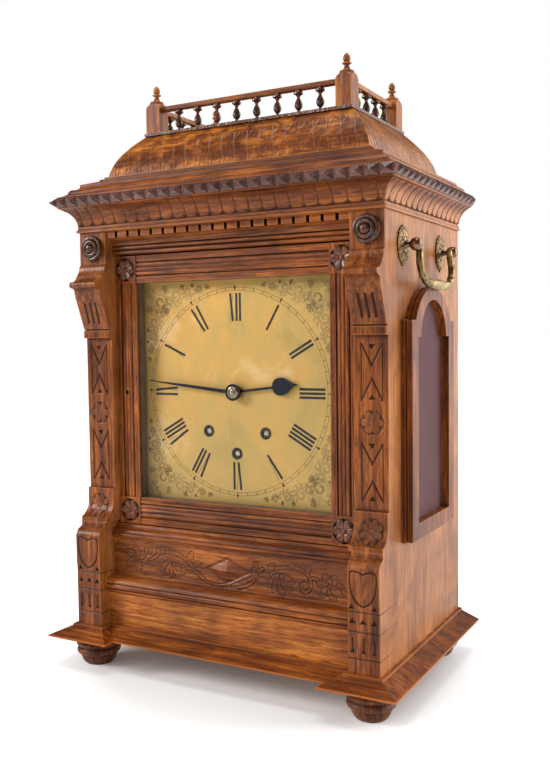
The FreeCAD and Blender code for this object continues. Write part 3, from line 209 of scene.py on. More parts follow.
def grain_colour(paint, woods, along, figure=0.7):
    """Streaks, pores and soft clouds of oak, with the grain along one axis; a figure above 2 adds flames."""
    dark, middle, light = woods
    fine = {"X": (17, 260, 260), "Y": (260, 17, 260), "Z": (260, 260, 17)}[along]
    streak = paint.noise(paint.scaled(*fine), 1.0, 8.0, 0.70, min(figure, 1.0))
    if figure > 2:
        flame = paint.noise(paint.scaled(34, 60, 60), 1.0, 5.0, 0.6, 1.6)
        streak = paint.math("ADD", paint.times(streak, 0.28), paint.times(flame, 0.72))
    broad = paint.noise(paint.scaled(*[c * 0.28 for c in fine]), 1.0, 3.0, 0.6, 0.6)
    streak = paint.math("ADD", paint.times(streak, 0.68), paint.times(broad, 0.32))
    base = paint.ramp(streak, [(0.35, dark), (0.48, middle), (0.65, light)])
    pores = paint.noise(paint.scaled(*[c * 4.5 for c in fine]), 1.0, 2.0, 0.5, 0.1)
    pore = paint.band(pores, 0.56, 0.66)
    base = paint.mix(paint.times(pore, 0.70), base, dark)
    patches = paint.noise(paint.coords, 14.0, 3.0, 0.55, 0.8)
    shade = paint.ramp(patches, [(0.32, (0.62, 0.56, 0.54)), (0.52, (1.0, 1.0, 1.0)), (0.70, (1.30, 1.28, 1.20))])
    return paint.mix(1.0, base, shade, "MULTIPLY"), streak, pore


def oak(name, woods, along="X", figure=0.7, side=None, crossing=None, dirt_and_shade=0.85, reach=0.005, gloss=(0.42, 0.30),
        worn=0.5, spec=0.26):
    """Waxed oak. side: paler woods for faces that look along X, as painted side light; crossing: |x| in mm past which
    grain runs upright.
    """
    paint = Paint(name)
    base, streak, pore = grain_colour(paint, woods, along, figure)
    if crossing:
        upright = grain_colour(paint, woods, "Z", figure)[0]
        outside = paint.math("GREATER_THAN", paint.math("ABSOLUTE", paint.axis("X"), 0.0), crossing * MM)
        base = paint.mix(outside, base, upright)
    # Faces that look along X take the paler woods: painted side light.
    if side:
        lit_side_base = grain_colour(paint, side, "Z" if along != "Y" else "Y", 0.25)[0]
        lit_side_share = paint.band(paint.math("ABSOLUTE", paint.facing("X"), 0.0), 0.62, 0.85)
        base = paint.mix(lit_side_share, base, lit_side_base)
    if worn:
        rubbed = tuple(min(1.0, 1.35 * c) for c in woods[2])
        base = paint.mix(paint.times(paint.worn(0.0022), worn), base, rubbed)
    cavity = paint.attribute("cavity")
    dusty = paint.band(cavity, -1.0, 0.0, 1.0, 0.0)
    base = paint.mix(dusty, base, DUST)
    # Creases found by occlusion and carved hollows darken toward near-black: partly grime, partly painted shade.
    carved = paint.math("MINIMUM", cavity, 0.86)
    hollow_dark = paint.math("MAXIMUM", paint.times(paint.crevice(reach), dirt_and_shade), carved)
    base = paint.mix(hollow_dark, base, GRIME_AND_SHADE)
    shine = paint.band(streak, 0.3, 0.7, *gloss)
    rough = paint.math("ADD", shine, paint.times(hollow_dark, 0.3))
    height = paint.math("SUBTRACT", paint.times(streak, 0.35), paint.times(pore, 0.65))
    return paint.finish(base, rough, (height, 0.30, 0.0005), Specular_IOR_Level=spec, Coat_Weight=0.04,
                        Coat_Roughness=0.2)


def cast_brass(name, light, dark, roughness=0.36):
    """Old brass: bright on the high spots, brown in the hollows."""
    paint = Paint(name)
    cloud = paint.noise(paint.coords, 126.0, 5.0, 0.6)
    base = paint.ramp(cloud, [(0.32, dark), (0.62, light)])
    hollow_dark = paint.math("MAXIMUM", paint.crevice(0.004), paint.attribute("cavity"))
    base = paint.mix(hollow_dark, base, tuple(c * 0.12 for c in dark))
    fine = paint.noise(paint.coords, 420.0, 4.0, 0.6)
    rough = paint.band(fine, 0.3, 0.7, roughness - 0.08, roughness + 0.12)
    return paint.finish(base, rough, (fine, 0.18, 0.0004), Metallic=1.0)


def brushed(name, light, dark, along, roughness):
    """Lightly grained metal."""
    paint = Paint(name)
    fine = {"X": (40, 1600, 1600), "Y": (1600, 40, 1600), "Z": (1600, 1600, 40)}[along]
    lines = paint.noise(paint.scaled(*fine), 1.0, 3.0, 0.6)
    base = paint.ramp(lines, [(0.3, dark), (0.7, light)])
    # Darker in crevices: painted shade.
    base = paint.mix(paint.crevice(0.003), base, tuple(c * 0.2 for c in dark))
    rough = paint.band(lines, 0.3, 0.7, roughness - 0.06, roughness + 0.08)
    return paint.finish(base, rough, (lines, 0.10, 0.0002), Metallic=1.0)


def gilt_dial(name):
    """Satin gilt plate, mottled by age, and painted darker towards the bottom as painted shade."""
    paint = Paint(name)
    grain = paint.noise(paint.scaled(1300, 1300, 30), 1.0, 3.0, 0.6)
    cloud = paint.noise(paint.scaled(15, 15, 11), 1.0, 4.0, 0.6, 0.6)
    base = paint.ramp(cloud, [(0.34, (0.45, 0.305, 0.085)), (0.46, (0.57, 0.375, 0.110)),
                              (0.56, (0.68, 0.385, 0.095)), (0.68, (0.78, 0.54, 0.24))])
    # The lower plate is painted darker: painted shade.
    high = paint.band(paint.axis("Z"), 0.19, 0.40)
    base = paint.mix(high, paint.mix(0.5, base, (0.50, 0.36, 0.135)), base)
    spots = paint.noise(paint.coords, 260.0, 3.0, 0.6)
    base = paint.mix(paint.times(paint.band(spots, 0.64, 0.74), 0.4), base, (0.30, 0.18, 0.06))
    return paint.finish(base, paint.band(grain, 0.3, 0.7, 0.42, 0.56), (grain, 0.06, 0.0002), Metallic=0.5)


def dark_metal(name, colour, roughness, metallic=0.7):
    paint = Paint(name)
    cloud = paint.noise(paint.coords, 240.0, 4.0, 0.6)
    base = paint.ramp(cloud, [(0.35, tuple(c * 0.7 for c in colour)), (0.7, tuple(c * 1.3 for c in colour))])
    return paint.finish(base, paint.band(cloud, 0.3, 0.7, roughness - 0.05, roughness + 0.08), Metallic=metallic)


def silk(name):
    """Faded silk stretched behind the side openings."""
    paint = Paint(name)
    weave = paint.noise(paint.scaled(900, 2600, 2600), 1.0, 2.0, 0.5)
    cloud = paint.noise(paint.scaled(8, 14, 5), 1.0, 3.0, 0.5)
    base = paint.ramp(cloud, [(0.3, (0.115, 0.054, 0.059)), (0.7, (0.155, 0.076, 0.082))])
    # Darker in crevices where the frame meets the silk: painted shade.
    base = paint.mix(paint.crevice(0.012), base, (0.05, 0.028, 0.03))
    return paint.finish(base, bump=(weave, 0.12, 0.0002), Roughness=0.75, Specular_IOR_Level=0.15)


def painted_slip(name):
    paint = Paint(name)
    cloud = paint.noise(paint.coords, 60.0, 3.0, 0.6)
    base = paint.ramp(cloud, [(0.3, (0.135, 0.098, 0.068)), (0.7, (0.20, 0.150, 0.108))])
    return paint.finish(base, Roughness=0.55, Metallic=0.2)


def clear_glass(name):
    """Thin flat glass: faint reflections and no refraction to bend the dial."""
    paint = Paint(name)
    smear = paint.noise(paint.coords, 30.0, 3.0, 0.5)
    return paint.finish(roughness=paint.band(smear, 0.3, 0.8, 0.015, 0.05), Alpha=0.035,
                        Base_Color=(0.03, 0.034, 0.032, 1.0), Specular_IOR_Level=0.2)


OAK_ACROSS = oak("oak_across", WARM, "X", side=SIDE_LIT, reach=0.009)
OAK_UPRIGHT = oak("oak_upright", WARM, "Z", side=SIDE_LIT, reach=0.008)
OAK_DOOR = oak("oak_door", WARM, "X", crossing=112.5, reach=0.007)
OAK_DENTIL = oak("oak_dentil", WARM, "X", dirt_and_shade=1.0, reach=0.011)
OAK_PANEL = oak("oak_panel", ORANGE, "X", reach=0.011)
OAK_PLINTH = oak("oak_plinth", WARM, "X", side=SIDE_LIT, reach=0.010, worn=0.8)
OAK_DOME = oak("oak_dome", FLAME, "X", figure=4.5, side=SIDE_LIT, reach=0.007, gloss=(0.34, 0.24))
OAK_TURNED = oak("oak_turned", FOOT, "Z", figure=0.9)
OAK_POST = oak("oak_post", ORANGE, "Z", figure=0.9, worn=0.6)
OAK_DARK = oak("oak_dark", DARK, "Z", figure=0.9, gloss=(0.28, 0.20), spec=0.5)
OAK_BEAD = oak("oak_bead", BEAD, "X", figure=0.5, dirt_and_shade=0.7, reach=0.004, gloss=(0.26, 0.18), spec=0.6)
# The side panels take the paler woods throughout: painted side light.
OAK_SIDE_LIT = oak("oak_side", SIDE_LIT, "Z", figure=0.25, dirt_and_shade=0.6, reach=0.012, gloss=(0.38, 0.30), worn=0)
OAK_FRAME = oak("oak_frame", WARM, "Z", figure=0.4, spec=0.25)
OAK_PLAIN = oak("oak_plain", PLAIN, "Z", figure=0.4, dirt_and_shade=0.6)
AGED_BRASS = cast_brass("aged_brass", (0.50, 0.36, 0.15), (0.16, 0.105, 0.045))
KNOB_BRASS = cast_brass("knob_brass", (0.34, 0.19, 0.115), (0.11, 0.058, 0.040), 0.26)
OLD_BRASS = cast_brass("old_brass", (0.16, 0.11, 0.055), (0.05, 0.032, 0.018))
BRASS = brushed("movement_brass", (0.80, 0.58, 0.26), (0.62, 0.43, 0.17), "X", 0.30)
NUT_BRASS = brushed("nut_brass", (0.52, 0.40, 0.28), (0.30, 0.22, 0.15), "X", 0.24)
STEEL = brushed("steel", (0.58, 0.58, 0.60), (0.40, 0.40, 0.42), "Y", 0.28)
BLUED = dark_metal("blued_steel", (0.006, 0.009, 0.018), 0.36, 0.3)
IRON = dark_metal("gong_iron", (0.045, 0.045, 0.048), 0.5)
DIAL = gilt_dial("gilt_dial")
ENGRAVING = dark_metal("engraving", (0.26, 0.175, 0.075), 0.55, 0.3)
MINUTE_INK = dark_metal("minute_ink", (0.085, 0.055, 0.028), 0.55, 0.2)
BLACK_WAX = dark_metal("black_wax", (0.012, 0.010, 0.009), 0.55, 0.0)
SILK = silk("pane_silk")
SLIP = painted_slip("slip_metal")
GLASS = clear_glass("door_glass")

NODE_MATERIALS = {
    OAK_PLINTH: "plinth_moulding",
    OAK_PANEL: "base_panel",
    OAK_ACROSS: "ledge_moulding sill_moulding head_moulding bead_moulding top_slab gallery_rails carved_panel "
                "cornice_cove",
    OAK_DENTIL: "dentil_strip",
    OAK_DARK: "gallery_board gallery_balusters",
    OAK_UPRIGHT: "pilaster_left pilaster_right",
    OAK_POST: "gallery_posts",
    OAK_DOME: "dome_roof",
    OAK_TURNED: "bun_feet",
    OAK_DOOR: "door_frame door_rosettes",
    OAK_SIDE_LIT: "side_panel_left side_panel_right",
    OAK_FRAME: "window_frame_left window_frame_right",
    OAK_PLAIN: "base_board dial_board seat_board back_frame back_door",
    SILK: "window_pane_left window_pane_right",
    AGED_BRASS: "handle_bail_left handle_bail_right back_door_knob back_hinge_case_leaves "
                "back_hinge_door_leaves front_hinge_case_leaves front_hinge_door_leaves",
    OLD_BRASS: "door_lock",
    KNOB_BRASS: "handle_mounts_left handle_mounts_right",
    BRASS: "movement_front_plate movement_rear_plate back_cock hour_wheel minute_wheel winding_barrel_chime "
           "winding_barrel_going winding_barrel_strike pendulum",
    NUT_BRASS: "hand_nut",
    STEEL: "centre_arbor hammer_low hammer_high",
    BLUED: "hour_hand minute_hand",
    IRON: "gong_rods",
    DIAL: "dial_plate",
    SLIP: "door_sight_slip",
    GLASS: "door_glass",
}
for material, names in NODE_MATERIALS.items():
    for name in names.split():
        NODES[name].data.materials.clear()
        NODES[name].data.materials.append(material)


# -------- meshes
def piece(name, points, faces, material, slot, body="case", smooth=True, cavity=0.0, replaces=(), sharp=None):
    """Object from points in mm. smooth and cavity (0 to 1): for all, or each face and each point; sharp: degrees."""
    mesh = bpy.data.meshes.new(name)
    mesh.from_pydata([tuple(p) for p in np.asarray(points, float) * MM], [], [tuple(f) for f in faces])
    mesh.polygons.foreach_set("use_smooth", np.full(len(faces), smooth))
    layer = mesh.attributes.new("cavity", "FLOAT", "POINT")
    layer.data.foreach_set("value", np.full(len(points), cavity, np.float32))
    mesh.materials.append(material)
    mesh.update()
    made = bpy.data.objects.new(name, mesh)
    bpy.context.scene.collection.objects.link(made)
    if replaces:
        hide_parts(*replaces)
    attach(made, body)
    if sharp:
        mesh.set_sharp_from_angle(angle=math.radians(sharp))


def grid_faces(rows, cols, wrap=False):
    """Quads over a grid of points stored row by row; wrap joins the last column to the first."""
    r = np.arange(rows - 1)[:, None] * cols
    c = np.arange(cols if wrap else cols - 1)[None, :]
    after = (c + 1) % cols
    return np.stack([r + c, r + after, r + cols + after, r + cols + c], -1).reshape(-1, 4).tolist()


def tube_faces(rings, around):
    """Quads from ring to ring of points, with the first and the last ring closed."""
    last = (rings - 1) * around
    return grid_faces(rings, around, True) + [tuple(range(around))[::-1], tuple(range(last, last + around))]


def moved(faces, shift):
    """The same faces over points that start further on."""
    return [tuple(i + shift for i in face) for face in faces]


def traced(steps, spacing):
    """Points along an outline of corners and three-point arcs, about spacing apart, corners kept."""
    points = [np.array(steps[0], float)]
    for step in steps[1:]:
        a = points[-1]
        if isinstance(step[0], tuple):
            b, c = np.array(step[0], float), np.array(step[1], float)
            centre, radius = circle_through(a, b, c)
            t0, t1, t2 = (math.atan2(*(p - centre)[::-1]) for p in (a, b, c))
            turn = (t2 - t0) % (2 * math.pi)
            if (t1 - t0) % (2 * math.pi) > turn:
                turn -= 2 * math.pi
            count = max(3, int(abs(turn) * radius / spacing))
            angles = t0 + turn * np.arange(1, count + 1) / count
            points += [centre + radius * np.array([math.cos(t), math.sin(t)]) for t in angles]
        else:
            b = np.array(step, float)
            count = max(1, int(np.linalg.norm(b - a) / spacing))
            points += [a + (b - a) * i / count for i in range(1, count + 1)]
    return np.array(points)


def circle_through(a, b, c):
    m = 2 * np.array([b - a, c - a])
    centre = np.linalg.solve(m, np.array([b @ b - a @ a, c @ c - a @ a]))
    return centre, float(np.linalg.norm(a - centre))


def outward(profile):
    """Unit normals of a profile in its own plane, on its left as it runs."""
    step = np.gradient(profile, axis=0)
    normal = np.stack([-step[:, 1], step[:, 0]], -1)
    return normal / np.maximum(np.linalg.norm(normal, axis=1, keepdims=True), 1e-9)


def carved_board(name, x0, x1, profile, back, carve, material, spacing=0.45, **options):
    """Closed board whose front follows a (y, z) profile, cut or raised by carve(x, z) -> height, cavity."""
    rows = len(profile)
    cols = max(2, int((x1 - x0) / spacing)) + 1
    x, z = np.meshgrid(np.linspace(x0, x1, cols), profile[:, 1])
    height, cavity = carve(x, z)
    height = np.where(np.minimum(x - x0, x1 - x) < 0.01, 0.0, height)
    normal = outward(profile)
    front = np.stack([x, profile[:, 0:1] + normal[:, 0:1] * height, z + normal[:, 1:2] * height], -1)
    ends = [np.stack([np.full(rows, x_end), np.full(rows, back), profile[:, 1]], -1) for x_end in (x0, x1)]
    n = rows * cols
    faces = grid_faces(rows, cols)
    curved = len(faces)
    for r in range(rows - 1):
        if profile[r + 1, 1] - profile[r, 1] > 1e-6:
            faces.append((r * cols, (r + 1) * cols, n + r + 1, n + r))
            faces.append((r * cols + cols - 1, n + rows + r, n + rows + r + 1, (r + 1) * cols + cols - 1))
            faces.append((n + r, n + r + 1, n + rows + r + 1, n + rows + r))
    faces.append(tuple(range(cols)) + (n + rows, n))
    faces.append(tuple(range(n - cols, n))[::-1] + (n + rows - 1, n + 2 * rows - 1))
    piece(name, np.vstack([front.reshape(-1, 3)] + ends), faces, material, smooth=np.arange(len(faces)) < curved,
          cavity=np.concatenate([cavity.reshape(-1), np.zeros(2 * rows)]), **options)


def mitred_ring(name, profile, inner, sides, rear, carve, material, spacing=0.8, **options):
    """Moulding round the clock: profile (projection, z) outside, a plain wall inside."""
    section = np.vstack([profile, [[inner, profile[-1, 1]], [inner, profile[0, 1]]]])
    normal = -outward(profile)
    m, n = len(profile), len(section)
    p = section[:, 0]
    closed = "b" in sides
    y_front, y_rear = Y_CORNICE - p, rear + p * closed
    columns, cavities = [], []
    for side in sides:
        count = int((2 * HALF_W if side in "fb" else Y_BACK - Y_CORNICE) / spacing)
        for i in range(count + 1):
            t = i / count
            if side == "l":
                x, y, out = -HALF_W - p, y_rear + (y_front - y_rear) * t, (-1.0, 0.0)
            elif side == "f":
                x, y, out = (HALF_W + p) * (2 * t - 1), y_front, (0.0, -1.0)
            elif side == "r":
                x, y, out = HALF_W + p, y_front + (y_rear - y_front) * t, (1.0, 0.0)
            else:
                x, y, out = (HALF_W + p) * (1 - 2 * t), y_rear, (0.0, 1.0)
            along, room = (x, HALF_W + p - np.abs(x)) if side in "fb" else (y, y - y_front)
            height, dirt_and_shade = carve(along[:m], profile, side)
            push = np.zeros((n, 2))
            push[:m] = normal * (height * unit(np.abs(room[:m]) / 2.0))[:, None]
            columns.append(np.stack([x + out[0] * push[:, 0], y + out[1] * push[:, 0],
                                     section[:, 1] + push[:, 1]], -1))
            cavities += [dirt_and_shade, np.zeros(n - m)]
    count = len(columns)
    if closed:
        faces = grid_faces(count, n, True)
        faces += [((count - 1) * n + i, (count - 1) * n + (i + 1) % n, (i + 1) % n, i) for i in range(n)]
    else:
        faces = tube_faces(count, n)
    caps = 0 if closed else 2
    piece(name, np.array(columns).reshape(-1, 3), faces, material, smooth=np.arange(len(faces)) < len(faces) - caps,
          cavity=np.concatenate(cavities), sharp=38, **options)


# -------- carving patterns, in mm
def unit(value):
    return np.clip(value, 0, 1)


def fade(distance, width):
    """1 at no distance, falling evenly to 0 at the width."""
    return unit(1 - distance / width)


def to_segment(x, z, x0, z0, x1, z1):
    dx, dz = x1 - x0, z1 - z0
    t = unit(((x - x0) * dx + (z - z0) * dz) / (dx * dx + dz * dz))
    return np.hypot(x - x0 - t * dx, z - z0 - t * dz)


def to_line(x, z, points):
    """Distance to an open line of points."""
    best = np.full(x.shape, 1e9)
    for (x0, z0), (x1, z1) in zip(points, points[1:]):
        best = np.minimum(best, to_segment(x, z, x0, z0, x1, z1))
    return best


def smooth_line(points, per=6):
    """Rounds an open line through its points."""
    p = np.array([points[0]] + list(points) + [points[-1]], float)
    out = []
    for i in range(1, len(p) - 2):
        for k in range(per):
            t = k / per
            out.append(0.5 * (2 * p[i] + (p[i + 1] - p[i - 1]) * t
                              + (2 * p[i - 1] - 5 * p[i] + 4 * p[i + 1] - p[i + 2]) * t * t
                              + (3 * p[i] - p[i - 1] - 3 * p[i + 1] + p[i + 2]) * t ** 3))
    out.append(p[-2])
    return [tuple(q) for q in out]


class Carving:
    """Collects cuts and raised work over arrays of x and z."""

    def __init__(self, x, z):
        self.x, self.z = x, z
        self.height = np.zeros(x.shape)
        # cavity: how far each point is darkened, partly grime and partly painted shade in the cuts.
        self.cavity = np.zeros(x.shape)

    def cut(self, depth, dirt_and_shade):
        self.height = np.minimum(self.height, -depth)
        self.cavity = np.maximum(self.cavity, dirt_and_shade)

    def groove(self, points, width=1.1, depth=0.9, dirt_and_shade=0.8, rounded=False):
        line = smooth_line(points) if rounded else points
        share = fade(to_line(self.x, self.z, line), width / 2 + 0.3)
        self.cut(depth * share, dirt_and_shade * unit(share * 1.6))

    def chip(self, cx, cz, half, tall, up=1, depth=1.6, dirt_and_shade=0.95):
        """Triangular chip: up points its tip upward, its middle deepest."""
        u = (self.x - cx) / half
        v = (self.z - cz) * up / tall
        share = unit(np.minimum(v, 1 - v - np.abs(u)) * 5)
        self.cut(depth * share, dirt_and_shade * unit(share * 1.5))

    def flower(self, cx, cz, radius, petals, rise=1.1, squash=1.0, turn=0.0, ground=0.7):
        """Rosette of scooped petals round a button, in a shallow sunk ring."""
        dx, dz = self.x - cx, (self.z - cz) / squash
        r, t = np.hypot(dx, dz) / radius, np.arctan2(dz, dx) + turn
        wave = np.abs(np.cos(petals * t / 2))
        edge = 0.66 + 0.30 * wave ** 0.7
        petal = (r < edge) & (r > 0.17)
        body = unit((edge - r) * 7) * unit((r - 0.14) * 8) * (0.25 + 0.75 * wave ** 0.5)
        sunk = (r < 1.0) & ~petal
        height = np.where(petal, rise * (body - 0.55), np.where(sunk, -ground * unit((1.0 - r) * 6), 0))
        button = r < 0.17
        height = np.where(button, rise * 0.55 * np.sqrt(unit(1 - (r / 0.17) ** 2)), height)
        dirt_and_shade = np.where(sunk, 0.85 * unit((1 - r) * 5), 0)
        dirt_and_shade = np.where(petal, 0.85 * (1 - np.clip(body * 1.15, 0, 0.8)), dirt_and_shade)
        dirt_and_shade = np.where(button, 0.1, dirt_and_shade)
        near = r < 1.0
        self.height = np.where(near, height, self.height)
        self.cavity = np.where(near, dirt_and_shade, self.cavity)

    def done(self):
        return self.height, self.cavity


PILASTER_X = 157.8
FLUTE_X = 10.3


def pilaster_carving(x, z):
    """Everything cut into a pilaster's front, from the nail band up to the flutes."""
    c = Carving(x - PILASTER_X, z)
    for level in (57.3, 82.0, 100.2):
        c.groove([(-20, level), (20, level)], 1.3, 0.8, 0.75)
    for k in (-1, 0, 1):
        at = 0.3 + 10.6 * k
        c.groove([(at, 75.0), (at, 65.0)], 1.6, 1.1, 0.9)
        c.chip(at, 62.4, 2.7, 5.5, 1, 1.5)
        c.chip(at, 76.8, 1.5, 2.4, -1, 1.2)
        c.chip(at - 0.2, 89.2, 3.9, 5.6, 1, 1.7)
    shield = [(0.2, 134.8), (-3.5, 136.6), (-8.5, 137.4), (-12.4, 135.4), (-12.6, 126), (-10.4, 115.5),
              (-5.6, 108.6), (0.2, 105.2)]
    c.groove(shield, 1.7, 1.3, 0.85, True)
    c.groove([(-px + 0.4, pz) for px, pz in shield], 1.7, 1.3, 0.85, True)
    for s in (-1, 1):
        c.chip(s * 11.2, 102.2, 3.6, 6.0, 1, 1.6)
    c.flower(0.6, 170.2, 12.8, 8, 1.7, 0.98, math.pi / 8, 1.1)
    c.chip(-10.6, 160.0, 2.0, 3.0, 1, 0.9, 0.6)
    for x_edge in (-FLUTE_X, FLUTE_X):
        for low, high in ((197, 250), (290, 342)):
            c.groove([(x_edge, low), (x_edge, high)], 1.2, 0.9)
        for end, tip in ((342, 321.9), (290, 309.8), (250, 231.7), (197, 215.0)):
            c.groove([(x_edge, end), (0, tip)], 1.7, 1.3, 0.85)
    for level, up in ((341.2, -1), (290.2, 1), (250.4, -1), (197.0, 1)):
        c.chip(0, level, 3.9, 5.4, up, 1.8)
    for dot in (321.5, 310.3, 231.2, 215.4):
        share = fade(np.hypot(c.x, c.z - dot), 1.5)
        c.cut(1.2 * share, 0.9 * unit(share * 2))
    c.flower(0, 269.4, 12.2, 6, 1.9, 1.0, 0.0, 1.3)
    for k in (-1, 0, 1):
        flute = to_segment(c.x, c.z, 7.0 * k - 0.6, 385.4, 7.0 * k + 0.4, 366.0)
        share = unit(1 - (flute / 1.75) ** 2)
        c.cut(1.7 * share, 0.92 * unit(share * 1.4))
    return c.done()


def pilaster_profile():
    """Side view of the pilaster as (y, z), the same outline as its solid."""
    f, up, down = Y_PILASTER, Z_FLOOR, Z_TOP
    return [(f, up), (f, up + 57), ((f - 0.8, up + 76), (f - 1, up + 96)),
            ((f + 0.6, up + 101), (f + 6, up + 105)), (f + 9, up + 106.5), (f + 9, up + 115.5),
            (f + 11, up + 116.5), ((f + 17.5, up + 122), (f + 21, up + 130)), (f + 21, up + 146),
            (f + 24.5, up + 146), (f + 24.5, down - 112), (f + 20, down - 112), (f + 20, down - 104),
            (f + 22, down - 104), (f + 22, down - 102.5), (f + 20.5, down - 102.5),
            (f + 8.5, down - 71), (f + 8, down - 71), (f + 5.5, down - 60.5), (f + 0.5, down - 59),
            ((f - 1.8, down - 56.5), (f, down - 53)), ((f + 7, down - 51), (f + 10, down - 47)),
            (f + 12, down - 44), ((f + 14, down - 41), (f + 15, down - 36.5)), (f + 17, down - 34.5),
            (f + 17, down)]


def turned_mesh(steps, spacing, around):
    """Points and faces of a spun (radius, height) outline about +Z."""
    outline = traced(steps, spacing)
    angles = 2 * math.pi * np.arange(around) / around
    r, h = outline[:, 0:1], outline[:, 1:2]
    points = np.stack([r * np.cos(angles), r * np.sin(angles), h + 0 * angles], -1).reshape(-1, 3)
    return points, tube_faces(len(outline), around)


def placed(points, centre, along):
    """Turns points made about +Z so that Z runs along a direction, and moves them."""
    turn = Vector((0, 0, 1)).rotation_difference(Vector(along)).to_matrix()
    return np.asarray(points) @ np.array(turn).T + np.array(centre)


def add_pilasters():
    profile = traced(pilaster_profile(), 0.45)
    foot = profile[profile[:, 1] <= Z_SPLIT + 0.01]
    shaft = profile[profile[:, 1] >= Z_SPLIT - 0.5]
    foot[-1, 1] = Z_SPLIT
    shaft[0, 1] = Z_SPLIT
    r = 13.5
    boss = [(0.01, 0), (r, 0), (r, 1.5), ((0.93 * r, 3.8), (0.74 * r, 3.9)), (0.70 * r, 3.0),
            ((0.60 * r, 5.6), (0.42 * r, 5.4)), (0.38 * r, 4.6), ((0.26 * r, 7.2), (0.08 * r, 8.0)), (0.01, 8.0)]
    for side, sign in (("right", 1), ("left", -1)):
        def carve(x, z):
            return pilaster_carving(sign * x, z)
        node = "pilaster_" + side
        for part, run, inner, gone in (("shaft", shaft, X_PILASTER, [node]), ("foot", foot, X_FOOT, [])):
            low, high = sorted((sign * inner, sign * HALF_W))
            carved_board(node + "_" + part, low, high, run, Y_BOARD, carve, OAK_UPRIGHT, slot="oak_front",
                         replaces=gone, sharp=42)
        points, faces = turned_mesh(boss, 0.35, 96)
        points = placed(points, (sign * (X_PILASTER + BOSS_IN), Y_PILASTER + BOSS_IN, Z_TOP - 17.5), (0, -1, 0))
        piece("boss_" + side, points, faces, OAK_DARK, "oak_front", sharp=40)


# -------- carved frieze
STEMS = [
    [(-96, -2), (-88, 2.7), (-82, 6.5), (-71, 9.2), (-61, 8.3), (-51, 4.2), (-42, -2.8), (-34, -10.5), (-26, -15.6),
     (-16, -18.3), (-4, -17.5), (5, -13.4), (19, -7.5), (31, -1.1), (41, 4.3)],
    [(-70, -5.9), (-59, -5), (-47, -5.3), (-36, -9), (-28, -14)],
    [(1, -19), (13, -18.3), (25, -13.5), (34, -5.6), (44, 0.5), (55, 6.4), (66, 8.4), (79, 8.7), (88, 6.5),
     (93, -0.1), (93, -8.2), (88, -13.7), (84, -11), (84, -6.1), (88, -4.5)],
    [(-137, 13), (-130, 6), (-121, 1)], [(93, 0), (99, 1), (106, -4)], [(34, -5.6), (36, 1), (33, 8)],
]
PETALS = [  # root x, root z, bearing in degrees, length, half width
    (-113, -1, 25, 15, 4.2), (-113, -1, 95, 13, 4.4), (-113, -1, 152, 16, 4.2), (-113, -1, 215, 18, 4.6),
    (-113, -1, 285, 16, 4.6), (-98, 4, 60, 9, 3.0), (-98, 4, 120, 8, 2.6),
    (-65, -3, 195, 17, 4.4), (-65, -3, 228, 18, 4.6), (-65, -3, 262, 16, 4.2), (-65, -3, 300, 16, 4.4),
    (-65, -3, 335, 13, 3.6), (-76, 8, 150, 10, 3.0), (-47, 2, 62, 13, 3.4), (-42, -2, 20, 12, 3.0),
    (-52, -5, 250, 10, 2.6), (-84, 5, 100, 9, 2.6),
    (33, -6, 100, 13, 3.4), (41, 0, 330, 12, 3.2), (48, 2, 60, 11, 3.0),
    (62, -1, 208, 17, 4.4), (62, -1, 240, 20, 4.8), (62, -1, 272, 20, 4.8), (62, -1, 305, 19, 4.6),
    (62, -1, 340, 16, 4.0), (70, 8, 30, 9, 2.6), (90, 5, 70, 9, 2.8),
    (114, -5, 8, 15, 4.2), (114, -5, 62, 14, 4.4), (114, -5, 118, 15, 4.4), (114, -5, 170, 14, 4.0),
    (114, -5, 228, 15, 4.4), (114, -5, 290, 15, 4.6), (114, -5, 330, 17, 3.8),
]


def raise_stem(c, line, half=1.3, rise=0.9):
    """Rounded stem that stands up from a narrow ditch on both its sides."""
    d = to_line(c.x, c.z, smooth_line(line))
    ridge = rise * np.sqrt(unit(1 - (d / half) ** 2))
    ditch = fade(np.abs(d - half - 0.5), 0.95)
    on = d < half
    c.height = np.where(on, np.maximum(c.height, ridge - 0.35), np.minimum(c.height, -0.95 * ditch))
    c.cavity = np.where(on, np.minimum(c.cavity, 0.15 + 0.5 * (d / half) ** 4), np.maximum(c.cavity, 0.78 * ditch))


def raise_petal(c, x0, z0, bearing, length, half):
    """Pointed leaf with a vein, hollowed a little and outlined by a ditch."""
    t = math.radians(bearing)
    along = ((c.x - x0) * math.cos(t) + (c.z - z0) * math.sin(t)) / length
    off = -(c.x - x0) * math.sin(t) + (c.z - z0) * math.cos(t)
    width = half * np.sin(np.pi * unit(along) ** 0.8) ** 0.75
    inside = (along > 0.04) & (along < 1) & (np.abs(off) < width)
    room = width - np.abs(off)
    body = 0.9 * unit(room / 1.1) - 0.30
    vein = fade(np.abs(off), 0.55) * (along < 0.85)
    ditch = (along > -0.06) & (along < 1.06) & ~inside
    away = fade(np.abs(off) - width, 1.3) * unit((1.06 - along) * 12)
    c.height = np.where(inside, body - 0.6 * vein, np.where(ditch, np.minimum(c.height, -0.85 * away), c.height))
    dirt_and_shade = np.maximum(0.65 * vein, 0.55 * (1 - unit(room / 0.9)))
    c.cavity = np.where(inside, dirt_and_shade, np.where(ditch, np.maximum(c.cavity, 0.75 * away), c.cavity))


